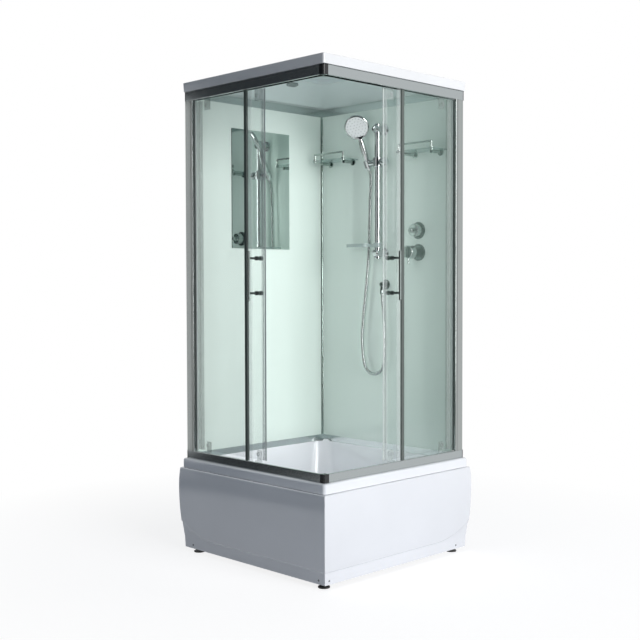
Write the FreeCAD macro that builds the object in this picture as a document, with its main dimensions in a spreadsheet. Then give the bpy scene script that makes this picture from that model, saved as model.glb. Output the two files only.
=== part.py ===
import FreeCAD, Part
import math
import os
import Sketcher
from FreeCAD import Placement, Rotation, Vector

# Square corner shower cabin: a deep tray, two sliding doors, a roof and fitted back walls.
# Millimetres, +Z up. The origin is on the floor, under the middle of the square tray.
# The glazed faces look to -Y (front) and +X (side). The solid walls stand at -X and +Y.
# The side face is the front face mirrored in the upright plane through the near corner,
# so whatever both faces carry is written once, in the front face's places.

SIZES = {
    # Tray and basin
    "tray_half": 450, "rim_top": 421, "rim_skin": 5, "rim_round": 9, "rim_corner": 14,
    "basin_slope": 60, "basin_corner": 75, "basin_low_corner": 110, "basin_floor": 120,
    "basin_skin": 5, "basin_floor_round": 38,
    # Frame and feet under the tray
    "beam_wide": 25, "beam_base": 90, "beam_top": 115, "beam_skin": 2, "cross_front": 180,
    "cross_back": 200, "pad_radius": 24, "pad_tall": 12, "pad_edge": 5, "pad_neck": 10,
    "stud_radius": 6, "stud_top": 112, "stud_clear": 0.5, "nut_radius": 10, "nut_tall": 9,
    "tab_thick": 3, "tab_wide": 34,
    # Aprons: distances from the cabin's middle, and heights
    "apron_low": 20, "crease_height": 71, "bulge_height": 300, "apron_flange": 4,
    "turn_round": 6, "low_bow": 977, "high_bow": 424, "inner_low_bow": 975,
    "inner_high_bow": 424, "crease_step": 4.5, "sweep_radius": 360, "sweep_rise": 75,
    "screw_height": 36, "screw_head": 5, "screw_head_thick": 2.5, "screw_shank": 2.2,
    "screw_sink": 0.45, "screw_depth": 14, "bracket_low": 24,
    # Waste
    "waste_x": 23, "waste_y": 13, "waste_hole": 44, "drain_ring": 58, "drain_ring_thick": 3,
    "neck_radius": 43, "neck_bore": 39, "neck_deep": 24, "trap_radius": 56, "trap_base": 42,
    "trap_skin": 3, "waste_radius": 20, "waste_bore": 17, "waste_height": 66, "cover_radius": 55,
    "cover_tall": 9, "cover_skin": 2.5, "cover_guide": 36, "cover_guide_deep": 16,
    "cover_slot": 12, "cover_slot_tall": 2.5, "waste_spigot": 50, "waste_stop": 24,
    "waste_stop_thick": 4,
    # Rails
    "rail_depth": 45, "low_rail_tall": 34, "high_rail": 2000, "high_rail_tall": 40,
    "rail_skin": 1.8, "rail_floor": 3, "rail_round": 2, "slot_near": 9, "slot_far": 18,
    "low_slot_floor": 14, "high_slot_roof": 20, "low_web": 28, "fin_near": 24.2, "fin_far": 26,
    "low_fin": 22, "high_fin": 13, "high_lip": 5, "inner_lip": 8, "cap_depth": 26,
    "corner_round": 6, "tongue_long": 15, "tongue_clear": 0.1,
    # Wall posts
    "post_wide": 50, "post_depth": 26, "post_slot": 14, "post_skin": 2, "post_leg": 20,
    "post_leg_skin": 4, "wall_slot_deep": 8, "wall_grip_gap": 2, "groove_deep": 0.8,
    "groove_wide": 3, "groove_place": 10,
    # Walls and their edge strips
    "wall_thick": 5, "strip_skin": 4, "strip_floor": 3, "strip_tall": 29, "strip_back_tall": 16,
    "head_strip_tall": 36, "angle_skin": 3.5, "angle_leg": 4, "angle_reach": 12.5,
    "wall_clear": 0.5,
    # Glass, its edges and the doors
    "glass_thick": 5, "fixed_place": 11, "glass_bite": 13, "fixed_near": 40, "edge_far": 49,
    "edge_near": 34, "edge_skin": 2.5, "lip_near": 9, "lip_thick": 2, "lip_bulb": 3.2,
    "door_place": 29, "door_lead": 44, "magnet_start": 36, "magnet_reach": 93,
    "magnet_bore_far": 50, "strip_grip": 1.5, "seal_fin": 6, "seal_wall": 0.3,
    "seal_fin_thick": 1.6, "handle_place": 2, "handle_low": 1127, "handle_high": 1332,
    "bar_radius": 6, "bar_out": 13, "grip_low": 1157, "grip_high": 1302, "grip_radius": 5,
    "grip_hole": 5.5, "grip_collar": 9, "grip_collar_thick": 3, "grip_knob": 9.5,
    "grip_knob_end": 62, "grip_waist": 6.5, "grip_waist_long": 12, "bar_round": 2,
    # Rollers and guides
    "hanger_near": 10, "hanger_half": 20, "hanger_place": 34.6, "hanger_end": 38,
    "hanger_bolt": 5, "hanger_bolt_head": 9, "hanger_bolt_thick": 3, "wheel_front": 22.5,
    "wheel_back": 27.5, "wheel_radius": 11, "wheel_groove": 8.95, "groove_front": 23.8,
    "groove_bevel": 0.3, "groove_back": 26.4, "axle_radius": 3, "axle_clear": 0.05,
    "axle_head": 5, "axle_front": 21, "hub_radius": 6, "guide_half": 14, "guide_front": 21.4,
    "guide_front_in": 23.7, "guide_back_in": 26.5, "guide_back": 28.6,
    # Roof and ceiling
    "roof_skin": 4, "roof_corner": 8, "dome_foot_corner": 80, "dome_corner": 70,
    "roof_flange": 4, "ceiling_thick": 3, "slope_foot_corner": 20, "slope_corner": 70,
    "recess_corner": 60, "lamp_radius": 92, "lamp_ring": 80, "lamp_drop": 3,
    "vent_half_long": 30, "vent_half_wide": 17, "vent_thick": 6, "vent_slot": 2, "vent_pitch": 7,
    "vent_slot_deep": 3, "slope_top": 172, "recess_half": 150, "vent_step": 33,
    # Mirror
    "mirror_low": 1360, "mirror_high": 1910, "mirror_front": 172, "mirror_back": 186,
    "mirror_thick": 5,
    # Riser rail, slider and holder
    "riser_x": 12, "riser_low": 1314, "riser_high": 1934, "riser_radius": 14, "riser_bore": 12.5,
    "low_bracket": 1336, "high_bracket": 1913, "bracket_radius": 18, "bracket_face": 14,
    "bracket_nose_long": 6, "rosette_radius": 26, "rosette_thick": 6, "slider_height": 1760,
    "slider_radius": 22, "slider_half": 24, "slider_clear": 0.06, "slider_round": 4,
    "boss_radius": 11, "boss_end": 34, "knob_radius": 19, "knob_long": 22, "knob_grip": 6,
    "knob_pin": 4, "knob_pin_long": 14, "pin_clear": 0.05, "tilt_hub": 13, "tilt_hub_end": 46,
    "tilt_pin": 6, "tilt_pin_depth": 20, "holder_offset": 64, "holder_collar": 13,
    "cone_radius": 17, "cone_low": 22, "cone_high": 14, "cone_bore_low": 10.6,
    "cone_bore_high": 11.8,
    # Hand shower along its own axis, from the holder's pin
    "nut_low": 34, "nut_low_radius": 8.5, "nut_waist_radius": 10.4, "shell_foot": 22,
    "shell_foot_radius": 10.6, "shell_seat": 14, "shell_seat_radius": 11.8, "grip_start": 18,
    "grip_start_radius": 13, "grip_middle": 80, "grip_middle_radius": 14, "grip_neck": 132,
    "grip_neck_radius": 11, "head_centre": 178, "head_radius": 58, "head_thick": 22,
    "head_rim": 9, "head_drop": 4, "face_radius": 50, "face_thick": 3, "face_recess": 0.5,
    "nozzle_radius": 1.8, "nozzle_out": 1.2, "nozzle_ring_one": 14, "nozzle_ring_two": 28,
    "nozzle_ring_three": 42,
    # Hose and wall elbow
    "hose_unit": 1, "hose_radius": 7, "hose_bore": 5, "elbow_x": 4, "elbow_z": 1190,
    "elbow_radius": 11, "elbow_face": 24, "elbow_face_thick": 5, "elbow_drop": 26,
    "elbow_nut_radius": 11, "elbow_nut_low": 1146,
    # Soap dish
    "dish_ring": 20, "dish_low": 1362, "dish_high": 1386, "dish_clear": 0.06, "dish_near": 46,
    "dish_far": 176, "dish_tray_low": 1366, "dish_tray_high": 1382, "dish_skin": 3,
    "dish_corner": 18, "dish_arm": 6, "dish_hole": 4, "dish_hole_pitch": 22,
    # Valves
    "mixer_z": 1337, "dial_z": 1437, "shield_radius": 38, "shield_thick": 7, "shield_round": 3,
    "shield_hole": 16, "wall_hole": 24, "valve_radius": 23, "valve_bore": 12.05,
    "valve_depth": 46, "joint_out": 46, "mixer_stem": 9, "lever_radius": 30, "lever_front": 82,
    "lever_back": 48, "lever_round": 5, "lever_pin": 4, "lever_pin_end": 52, "lever_pin_y": 66,
    "dial_back": 8.2, "dial_front": 40, "dial_radius": 29, "dial_round": 4, "dial_tip": 11,
    "dial_tip_end": 64, "pipe_radius": 9, "inlet_radius": 10.5, "inlet_long": 22,
    "inlet_nut": 15, "inlet_gap": 75, "pipe_place": 30, "inlet_shoulder": 11, "inlet_bore": 6,
    "valve_gap": 1, "valve_fit": 0.5,
    # Shelves
    "shelf_low": 1787, "shelf_high": 1793, "shelf_corner": 22, "shelf_half": 113,
    "guard_z": 1822, "guard_radius": 4.5, "guard_place": 95, "guard_foot": 9,
    "guard_foot_thick": 4, "arm_radius": 7, "arm_disc": 15, "arm_disc_thick": 5, "arm_place": 75,
    # Every cutting piece runs past the face that it opens
    "overrun": 10,
}
# Places counted inward from the tray's outer edge
TRAY_INSETS = {
    "ledge_edge": 6, "ledge_front": 63, "ledge_notch": 56, "ledge_inner": 50, "basin_left": 26,
    "basin_right": 72, "basin_front": 72, "basin_back": 46, "beam_place": 55, "beam_front": 37.5,
    "beam_back": 12.5, "post_back": 25, "post_front": 50, "foot_place": 55, "foot_reach": 50,
    "sweep_start": 210, "toe_reach": 10.5, "crease_reach": 7, "flange_inner": 9, "toe_inner": 19,
    "front_screw_left": 57, "front_screw_right": 48, "side_screw_front": 38,
    "side_screw_back": 68, "frame_half": 18, "rail_far": 18.5, "rail_near": 43, "cap_far": 13,
    "front_post_far": 13, "side_post_far": 16, "left_wall": 18, "back_wall": 38,
    "strip_start": 64, "door_rear": 86, "seal_start": 94, "seal_end": 56, "seal_bore_far": 60,
    "hanger_far": 125, "roof_low_half": 10.7, "roof_half": 8.6, "dome_foot": 105,
    "dome_half": 200, "roof_flange_in": 30, "roof_flange_out": 14, "notch_far": 4,
    "notch_near": 25, "ceiling_wall_left": 15, "ceiling_wall_back": 31, "ceiling_rail": 46,
    "slope_foot": 65, "waste_end": 10, "left_shelf": 159, "right_shelf": 200, "valve_x": 254,
}
# Places counted outward from the tray's outer edge
TRAY_OUTSETS = {
    "bulge_reach": 19.5, "turn_reach": 13, "inner_bulge": 11, "inner_top": 7, "sweep_end": 10,
}
# Places counted forward from the fittings wall's face
WALL_INSETS = {
    "riser_y": 50, "bracket_nose": 74, "elbow_y": 27, "elbow_nose": 40, "dish_front": 100,
    "dish_back": 40, "shelf_front": 104, "shelf_back": 5.5, "guard_y": 92, "arm_front": 67,
}
# Heights counted down from the tray's rim
RIM_DROPS = {
    "rim_under": 14, "rim_lip_low": 38, "ledge_height": 9, "wall_low": 6, "apron_top": 41,
    "apron_turn_height": 47,
}
# Heights counted up from the tray's rim
RIM_RISES = {
    "post_low": 34, "fixed_low": 16, "door_low": 41, "guide_low": 13, "guide_foot_low": 25,
    "guide_foot_high": 35, "guide_top": 79, "guide_bolt_z": 63,
}
# Heights counted down from the top rails' lower face
RAIL_DROPS = {
    "door_high": 3, "hanger_low": 45, "hanger_bolt_z": 26,
}
# Heights counted up from the top rails' lower face
RAIL_RISES = {
    "fixed_high": 17, "hanger_high": 32, "wheel_z": 22,
}
# Heights counted up from the top rails' upper face
ROOF_RISES = {
    "roof_band": 40, "dome_top": 110, "notch_high": 14, "strip_high": 14, "ceiling_low": 14,
    "wall_high": 11,
}
# Heights counted down from the top of the dome
DOME_DROPS = {
    "recess_floor": 40, "recess_roof": 19, "lamp_low": 29,
}

# Turns in degrees: the hand shower in its holder, and a whole circle
HANDSET_TILT = 24
HEAD_TILT = 10
CIRCLE = 360
QUARTER = 90
# How the rounded foot of the basin turns, in degrees
FOOT_ANGLES = (0, 22, 45, 68, 90)
# The spray nozzles in each ring, and the ridges round a knob
NOZZLES = (6, 12, 18)
KNOB_RIDGES = 12
HEXAGON = 6
VENT_SLOTS = 5
DISH_HOLES = 5

# The hose's route in steps of the hose unit, as (x, distance from the fittings wall, height):
# out of the hand shower's cone, down the wall in a loop, and up to the elbow
HOSE_ROUTE = (
    (-80, 23, 1650), (-84, 25, 1565), (-86, 26, 1440), (-94, 25, 1300), (-109, 26, 1165),
    (-127, 25, 1040), (-136, 26, 940), (-131, 25, 862), (-119, 26, 802), (-93, 25, 773),
    (-55.5, 26, 764), (-19, 25, 777), (3.6, 26, 808), (7.5, 25, 868), (8, 26, 955),
    (2, 25, 1050), (-4, 27, 1100),
)
# The share of a bend's shorter straight that its arc takes up
BEND_share = 0.45
# Shares of the waste cover: where its dome breaks, how it thickens, and how high its guide stands
DOME_share, THICK_share, THIN_share, GUIDE_share = 0.6, 1.4, 0.4, 0.6
# The half width of an apron bracket as a share of its tube, and of a screw cap's flat top
ARM_share, CAP_share = 0.4, 0.8
# The vent's round ends and its slots, as shares of its half width
VENT_END_share, SLOT_share = 0.9, 0.6
# The breaks in the hand shower head's back, as shares of its radius
CROWN_share, SHOULDER_share = 0.5, 0.86
# The straight start of the hose as a share of the holder's reach
START_share = 0.4

doc = FreeCAD.newDocument("shower_cabin")
sheet = doc.addObject("Spreadsheet::Sheet", "Sizes")


class Size:
    """A length: its value in millimetres, and the formula that the document keeps."""

    def __init__(self, value, formula):
        self.value = float(value)
        self.formula = formula

    def __add__(self, other):
        other = as_size(other)
        return Size(self.value + other.value, f"({self.formula} + {other.formula})")

    def __sub__(self, other):
        other = as_size(other)
        return Size(self.value - other.value, f"({self.formula} - {other.formula})")

    def __mul__(self, number):
        return Size(self.value * number, f"({self.formula} * {number})")

    def __truediv__(self, number):
        return Size(self.value / number, f"({self.formula} / {number})")

    def __neg__(self):
        return Size(-self.value, f"(0 - {self.formula})")

    __radd__ = __add__
    __rmul__ = __mul__

    def __rsub__(self, other):
        return as_size(other) - self


def as_size(number):
    return number if isinstance(number, Size) else Size(number, f"{number}")


class Sizes:
    """Every cell of the sheet as a Size, under its alias."""

    def __init__(self):
        self.rows = 0

    def cell(self, alias, value):
        self.rows += 1
        sheet.set(f"A{self.rows}", alias)
        sheet.set(f"B{self.rows}", f"{value}")
        sheet.setAlias(f"B{self.rows}", alias)
        return Size(value, f"Sizes.{alias}")

    def add(self, table):
        for alias, value in table.items():
            setattr(self, alias, self.cell(alias, value))

    def count(self, table, ending, place):
        """Places that are kept as distances from another size."""
        for alias, value in table.items():
            setattr(self, alias, place(self.cell(alias + ending, value)))


s = Sizes()
s.add(SIZES)
s.count(TRAY_INSETS, "_inset", lambda gap: s.tray_half - gap)
s.count(TRAY_OUTSETS, "_outset", lambda gap: s.tray_half + gap)
s.count(WALL_INSETS, "_gap", lambda gap: s.back_wall - gap)
s.count(RIM_DROPS, "_drop", lambda gap: s.rim_top - gap)
s.count(RIM_RISES, "_rise", lambda gap: s.rim_top + gap)
s.count(RAIL_DROPS, "_drop", lambda gap: s.high_rail - gap)
s.count(RAIL_RISES, "_rise", lambda gap: s.high_rail + gap)
s.low_rail = s.rim_top
s.roof_low = s.high_rail + s.high_rail_tall
s.count(ROOF_RISES, "_rise", lambda gap: s.roof_low + gap)
s.count(DOME_DROPS, "_drop", lambda gap: s.dome_top - gap)
s.vent_x = s.slope_top + s.vent_step
doc.recompute()
zero = as_size(0)
nodes = {}


def node(label, piece):
    """Registers a finished sub-part under its file's name."""
    piece.Label = label
    nodes[label] = piece
    return piece


def bind(piece, prop, length):
    piece.setExpression(prop, as_size(length).formula)


def bind_place(piece, place, rotation=None):
    """Puts a piece at a place made of three sizes, turned by a fixed rotation."""
    place = [as_size(part) for part in place]
    piece.Placement = Placement(Vector(*[part.value for part in place]), rotation or Rotation())
    for letter, part in zip("xyz", place):
        piece.setExpression(f"Placement.Base.{letter}", part.formula)


TURNS = {
    "+Z": Rotation(),
    "-Z": Rotation(Vector(1, 0, 0), 180),
    "+X": Rotation(Vector(0, 1, 0), 90),
    "-X": Rotation(Vector(0, 1, 0), -90),
    "+Y": Rotation(Vector(1, 0, 0), -90),
    "-Y": Rotation(Vector(1, 0, 0), 90),
}


# The two faces: front places, and their mirror image for the side face

def on_face(face, x, y):
    """A plan place of the front face, or its mirror image on the side face."""
    return (x, y) if face == "front" else (-as_size(y), -as_size(x))


def face_axis(face, axis):
    mirrored = {"+X": "-Y", "-X": "+Y", "+Y": "-X", "-Y": "+X"}
    return axis if face == "front" else mirrored.get(axis, axis)


def inward(depth):
    """The front face's y for a depth behind the rails' outer face."""
    return depth - s.frame_half


# Primitives

def block(x0, x1, y0, y1, z0, z1, face="front"):
    if face == "side":
        x0, x1, y0, y1 = -as_size(y1), -as_size(y0), -as_size(x1), -as_size(x0)
    box = doc.addObject("Part::Box", "block")
    for prop, low, high in (("Length", x0, x1), ("Width", y0, y1), ("Height", z0, z1)):
        bind(box, prop, as_size(high) - as_size(low))
    bind_place(box, (x0, y0, z0))
    return box


def rod(place, axis, radius, length, face="front"):
    x, y = on_face(face, place[0], place[1])
    cylinder = doc.addObject("Part::Cylinder", "rod")
    bind(cylinder, "Radius", radius)
    bind(cylinder, "Height", length)
    bind_place(cylinder, (x, y, place[2]), TURNS[face_axis(face, axis)])
    return cylinder


def cut(base, *tools):
    for tool in tools:
        result = doc.addObject("Part::Cut", "cut")
        result.Base = base
        result.Tool = tool
        base = result
    return base


def fuse(*pieces):
    result = doc.addObject("Part::MultiFuse", "fuse")
    result.Shapes = list(pieces)
    return result


def common(base, tool):
    result = doc.addObject("Part::Common", "common")
    result.Base = base
    result.Tool = tool
    return result


def group(*pieces):
    """Separate solids that share one node."""
    result = doc.addObject("Part::Compound", "group")
    result.Links = list(pieces)
    return result


# Sketches

def arc_between(start, end, radius, bend):
    """A short arc from start to end. It bulges to the left of the way for bend 1, right for -1."""
    across = end - start
    middle = (start + end) / 2
    left = Vector(-across.y, across.x, 0).normalize()
    rise = math.sqrt(max(radius ** 2 - (across.Length / 2) ** 2, 0))
    centre = middle - left * rise * bend
    first, second = (start, end) if bend < 0 else (end, start)
    low = math.atan2(first.y - centre.y, first.x - centre.x)
    high = math.atan2(second.y - centre.y, second.x - centre.x)
    if high <= low:
        high += 2 * math.pi
    return Part.ArcOfCircle(Part.Circle(centre, Vector(0, 0, 1), radius), low, high)


def draw(sketch, outlines):
    """Closed outlines of corners (a, b), or (a, b, radius, bend) where an arc leads to the corner.
    Each corner's place and each radius is bound to its formula."""
    for outline in outlines:
        count = len(outline)
        first = sketch.GeometryCount
        places = [Vector(as_size(corner[0]).value, as_size(corner[1]).value, 0) for corner in outline]
        ends = []
        for index, start in enumerate(places):
            goal = outline[(index + 1) % count]
            end = places[(index + 1) % count]
            if len(goal) > 2:
                sketch.addGeometry(arc_between(start, end, as_size(goal[2]).value, goal[3]), False)
                ends.append((2, 1) if goal[3] > 0 else (1, 2))
            else:
                sketch.addGeometry(Part.LineSegment(start, end), False)
                ends.append((1, 2))
        for index in range(count):
            following = (index + 1) % count
            this, that = first + index, first + following
            sketch.addConstraint(
                Sketcher.Constraint("Coincident", this, ends[index][1], that, ends[following][0])
            )
            corner = outline[index]
            for kind, length in (("DistanceX", corner[0]), ("DistanceY", corner[1])):
                length = as_size(length)
                place = Sketcher.Constraint(kind, -1, 1, this, ends[index][0], length.value)
                number = sketch.addConstraint(place)
                sketch.setExpression(f"Constraints[{number}]", length.formula)
            if len(outline[following]) > 2:
                radius = as_size(outline[following][2])
                number = sketch.addConstraint(Sketcher.Constraint("Radius", this, radius.value))
                sketch.setExpression(f"Constraints[{number}]", radius.formula)


def plane_sketch(body, role, offset, outlines):
    sketch = body.newObject("Sketcher::SketchObject", "outline")
    plane = [item for item in body.Origin.OriginFeatures if item.Role == role][0]
    sketch.AttachmentSupport = [(plane, "")]
    sketch.MapMode = "FlatFace"
    offset = as_size(offset)
    sketch.AttachmentOffset = Placement(Vector(0, 0, offset.value), Rotation())
    sketch.setExpression("AttachmentOffset.Base.z", offset.formula)
    draw(sketch, outlines)
    return sketch


def padded(role, start, length, *outlines):
    """A body made by one pad of closed outlines, from start along the plane's normal."""
    body = doc.addObject("PartDesign::Body", "body")
    pad_sketch = plane_sketch(body, role, start, outlines)
    pad = body.newObject("PartDesign::Pad", "pad")
    pad.Profile = pad_sketch
    bind(pad, "Length", length)
    return body


def turned(outline, place, axis="+Z", rotation=None):
    """A body of revolution: corners (radius, height) turned about its own axis at a place."""
    body = doc.addObject("PartDesign::Body", "body")
    sketch = plane_sketch(body, "XZ_Plane", zero, [outline])
    turn = body.newObject("PartDesign::Revolution", "turn")
    turn.Profile = sketch
    turn.ReferenceAxis = (sketch, ["V_Axis"])
    turn.Angle = CIRCLE
    bind_place(body, place, rotation or TURNS[axis])
    return body


def turned_on(face, outline, place, axis):
    x, y = on_face(face, place[0], place[1])
    return turned(outline, (x, y, place[2]), face_axis(face, axis))


def mirrored_outline(outline):
    """An outline with its first coordinate mirrored, its arcs still bulging the same way."""
    return [(-as_size(corner[0]),) + tuple(corner[1:3]) + tuple(-bend for bend in corner[3:])
            for corner in outline]


def along_face(face, x0, x1, *outlines):
    """An extrusion that runs along a face, from outlines across it as (y, z)."""
    if face == "front":
        return padded("YZ_Plane", x0, as_size(x1) - x0, *outlines)
    return padded("XZ_Plane", x0, as_size(x1) - x0, *[mirrored_outline(item) for item in outlines])


def upright(face, z0, z1, *outlines):
    """An upright extrusion from outlines in plan, as (x, y)."""
    if face == "side":
        outlines = [
            [on_face(face, corner[0], corner[1]) + tuple(corner[2:3])
             + tuple(-bend for bend in corner[3:]) for corner in outline]
            for outline in outlines
        ]
    return padded("XY_Plane", z0, as_size(z1) - z0, *outlines)


def round_edges(body, radius, wanted):
    """Rounds the edges of a body that the test picks, as its last feature."""
    doc.recompute()
    base = body.Tip
    names = [f"Edge{number}" for number, edge in enumerate(base.Shape.Edges, 1) if wanted(edge)]
    fillet = body.newObject("PartDesign::Fillet", "rounding")
    fillet.Base = (base, names)
    bind(fillet, "Radius", radius)
    body.Tip = fillet
    return body


def level_at(height):
    """Picks the edges that lie level at a height."""
    height = as_size(height).value

    def test(edge):
        box = edge.BoundBox
        return abs(box.ZMin - height) < 0.01 and abs(box.ZMax - height) < 0.01
    return test


def rectangle(x0, x1, y0, y1):
    return [(x0, y0), (x1, y0), (x1, y1), (x0, y1)]


def rounded_rectangle(x0, x1, y0, y1, radius):
    """A rectangle with four round corners, run anticlockwise."""
    x0, x1, y0, y1, radius = [as_size(item) for item in (x0, x1, y0, y1, radius)]
    return [
        (x0 + radius, y0, radius, -1), (x1 - radius, y0), (x1, y0 + radius, radius, -1),
        (x1, y1 - radius), (x1 - radius, y1, radius, -1), (x0 + radius, y1),
        (x0, y1 - radius, radius, -1), (x0, y0 + radius),
    ]


def lofted(*levels):
    """A body through level outlines, given from the lowest up as (outline, height)."""
    body = doc.addObject("PartDesign::Body", "body")
    sketches = [plane_sketch(body, "XY_Plane", height, [outline]) for outline, height in levels]
    loft = body.newObject("PartDesign::AdditiveLoft", "loft")
    loft.Profile = sketches[0]
    loft.Sections = sketches[1:]
    loft.Ruled = True
    return body


def across(face, near, far, outline):
    """A solid cut through a face: an outline seen from outside, as (x, z), between two reaches."""
    if face == "front":
        return padded("XZ_Plane", near, as_size(far) - near, outline)
    return padded("YZ_Plane", near, as_size(far) - near, mirrored_outline(outline))


def square(half, radius):
    """A level square with round corners, centred on the cabin's middle."""
    half = as_size(half)
    return rounded_rectangle(-half, half, -half, half, radius)


def mitre(face, start, low, high):
    """The corner piece beyond the upright plane where the two faces meet."""
    start = as_size(start)
    end = start + s.overrun * 10
    return upright(face, low, high, [(start, -start), (end, -end), (end, -start)])


def hexagon(place, radius, height):
    prism = doc.addObject("Part::Prism", "hexagon")
    prism.Polygon = HEXAGON
    bind(prism, "Circumradius", radius)
    bind(prism, "Height", height)
    bind_place(prism, place)
    return prism


def ball(place, radius):
    sphere = doc.addObject("Part::Sphere", "ball")
    bind(sphere, "Radius", radius)
    bind_place(sphere, place)
    return sphere


FACES = ("front", "side")

# Tray: a square rim, a ledge for the walls on two sides, and a deep basin with sloping sides

rim = padded("XY_Plane", s.rim_lip_low, s.rim_top - s.rim_lip_low,
             square(s.tray_half, s.rim_corner))
round_edges(rim, s.rim_round, level_at(s.rim_top))
rim_hollow = padded("XY_Plane", s.rim_lip_low - s.overrun, s.rim_under - s.rim_lip_low + s.overrun,
                    square(s.tray_half - s.rim_skin, s.rim_round))


def basin_levels(skin):
    """The basin's outlines, from its floor up through a rounded foot to the rim."""
    floor = s.basin_floor - skin
    deep = s.rim_top - s.basin_floor
    levels = []
    for angle in FOOT_ANGLES:
        rise = round(1 - math.cos(math.radians(angle)), 6)
        tuck = round(1 - math.sin(math.radians(angle)), 6)
        height = floor + s.basin_floor_round * rise
        depth_share = round((s.rim_top.value - height.value) / deep.value, 6)
        shrink = s.basin_slope * depth_share + s.basin_floor_round * tuck - skin
        corner = (s.basin_corner + (s.basin_low_corner - s.basin_corner) * depth_share
                  - s.basin_floor_round * tuck)
        levels.append((basin_outline(shrink, corner), height))
    levels.append((basin_outline(-skin, s.basin_corner), s.rim_top))
    return levels


def basin_outline(shrink, corner):
    return rounded_rectangle(shrink - s.basin_left, s.basin_right - shrink,
                             shrink - s.basin_front, s.basin_back - shrink, corner)


basin_shell = lofted(*basin_levels(s.basin_skin))
basin_room = lofted(*basin_levels(zero))
over_rim = s.rim_top + s.overrun
node("tray", cut(
    fuse(cut(rim, rim_hollow), basin_shell),
    basin_room,
    block(-s.ledge_edge, -s.ledge_inner, -s.ledge_front, s.ledge_edge, s.ledge_height, over_rim),
    block(-s.ledge_edge, s.ledge_front, s.ledge_inner, s.ledge_edge, s.ledge_height, over_rim),
    block(-s.ledge_edge, -s.frame_half, -s.ledge_notch, -s.ledge_front, s.ledge_height, over_rim),
    block(s.ledge_front, s.ledge_notch, s.back_wall, s.ledge_edge, s.ledge_height, over_rim),
    rod((-s.waste_x, s.waste_y, s.basin_floor - s.overrun), "+Z", s.waste_hole, s.overrun * 2),
))

# Waste: a flange on the basin's floor, a lift-off cover, and a trap with its outlet pipe

ring_top = s.basin_floor + s.drain_ring_thick
node("drain_flange", turned(
    [(s.neck_bore, s.basin_floor - s.neck_deep), (s.neck_radius, s.basin_floor - s.neck_deep),
     (s.neck_radius, s.basin_floor), (s.drain_ring, s.basin_floor), (s.drain_ring, ring_top),
     (s.neck_bore, ring_top)],
    (-s.waste_x, s.waste_y, zero)))
cover_base = turned(
    [(zero, s.cover_tall - s.cover_skin), (s.cover_radius * DOME_share, s.cover_tall - s.cover_skin * THICK_share),
     (s.cover_radius - s.cover_skin, zero), (s.cover_radius, zero),
     (s.cover_radius, s.cover_skin), (s.cover_radius * DOME_share, s.cover_tall - s.cover_skin * THIN_share),
     (zero, s.cover_tall)],
    (-s.waste_x, s.waste_y, ring_top))
cover_guide = cut(
    rod((-s.waste_x, s.waste_y, ring_top - s.cover_guide_deep), "+Z", s.cover_guide,
        s.cover_guide_deep + s.cover_tall * GUIDE_share),
    rod((-s.waste_x, s.waste_y, ring_top - s.cover_guide_deep), "+Z",
        s.cover_guide - s.cover_skin, s.cover_guide_deep + s.cover_tall * GUIDE_share))
node("drain_cover", cut(
    fuse(cover_base, cover_guide),
    block(-s.waste_x - s.cover_slot / 2, s.cover_slot / 2 - s.waste_x,
          s.waste_y - s.drain_ring, s.waste_y + s.drain_ring, ring_top - s.cover_guide_deep,
          ring_top + s.cover_slot_tall),
    block(-s.waste_x - s.drain_ring, s.drain_ring - s.waste_x,
          s.waste_y - s.cover_slot / 2, s.waste_y + s.cover_slot / 2,
          ring_top - s.cover_guide_deep, ring_top + s.cover_slot_tall)))
trap_top = s.basin_floor - s.basin_skin
trap = turned(
    [(zero, s.trap_base), (s.trap_radius, s.trap_base), (s.trap_radius, trap_top),
     (s.trap_radius - s.trap_skin, trap_top),
     (s.trap_radius - s.trap_skin, s.trap_base + s.trap_skin), (zero, s.trap_base + s.trap_skin)],
    (-s.waste_x, s.waste_y, zero))
waste_start = s.waste_y + s.trap_radius - s.overrun
node("drain_trap", cut(
    fuse(trap,
         rod((-s.waste_x, waste_start, s.waste_height), "+Y", s.waste_radius,
             s.waste_end - waste_start),
         rod((-s.waste_x, s.waste_end - s.waste_spigot - s.waste_stop_thick, s.waste_height),
             "+Y", s.waste_stop, s.waste_stop_thick)),
    rod((-s.waste_x, waste_start - s.overrun, s.waste_height), "+Y", s.waste_bore,
        s.waste_end - waste_start + s.overrun * 2)))

# Frame of square tube under the tray, with tabs that carry the aprons


def tube_section(low, high, middle):
    """A square tube's section about a middle line, between two heights, and its hollow."""
    middle, half = as_size(middle), s.beam_wide / 2
    return (rectangle(middle - half, middle + half, low, high),
            rectangle(middle - half + s.beam_skin, middle + half - s.beam_skin,
                      low + s.beam_skin, high - s.beam_skin))


frame_parts = []
for place in (-s.beam_place, s.beam_place):
    frame_parts.append(padded("XZ_Plane", -s.beam_back, s.beam_back + s.beam_front,
                              *tube_section(s.beam_base, s.beam_top, place)))
    for middle in (-s.post_front, s.post_back):
        half = s.beam_wide / 2
        skin = half - s.beam_skin
        frame_parts.append(padded(
            "XY_Plane", s.beam_top, s.rim_under - s.beam_top,
            rectangle(place - half, place + half, middle - half, middle + half),
            rectangle(place - skin, place + skin, middle - skin, middle + skin)))
cross_end = s.beam_place - s.beam_wide / 2
for middle in (-s.cross_front, s.cross_back):
    frame_parts.append(padded("YZ_Plane", -cross_end, cross_end * 2,
                              *tube_section(s.beam_base, s.beam_top, middle)))
tab_back = s.toe_inner - s.tab_thick
screws = (("front", -s.front_screw_left, -s.front_screw_left),
          ("front", s.front_screw_right, s.front_screw_right - s.beam_skin * 2),
          ("side", s.side_screw_front, s.side_screw_front - s.beam_wide / 2),
          ("side", -s.side_screw_back, -s.side_screw_back))
screw_tools = []
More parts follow.
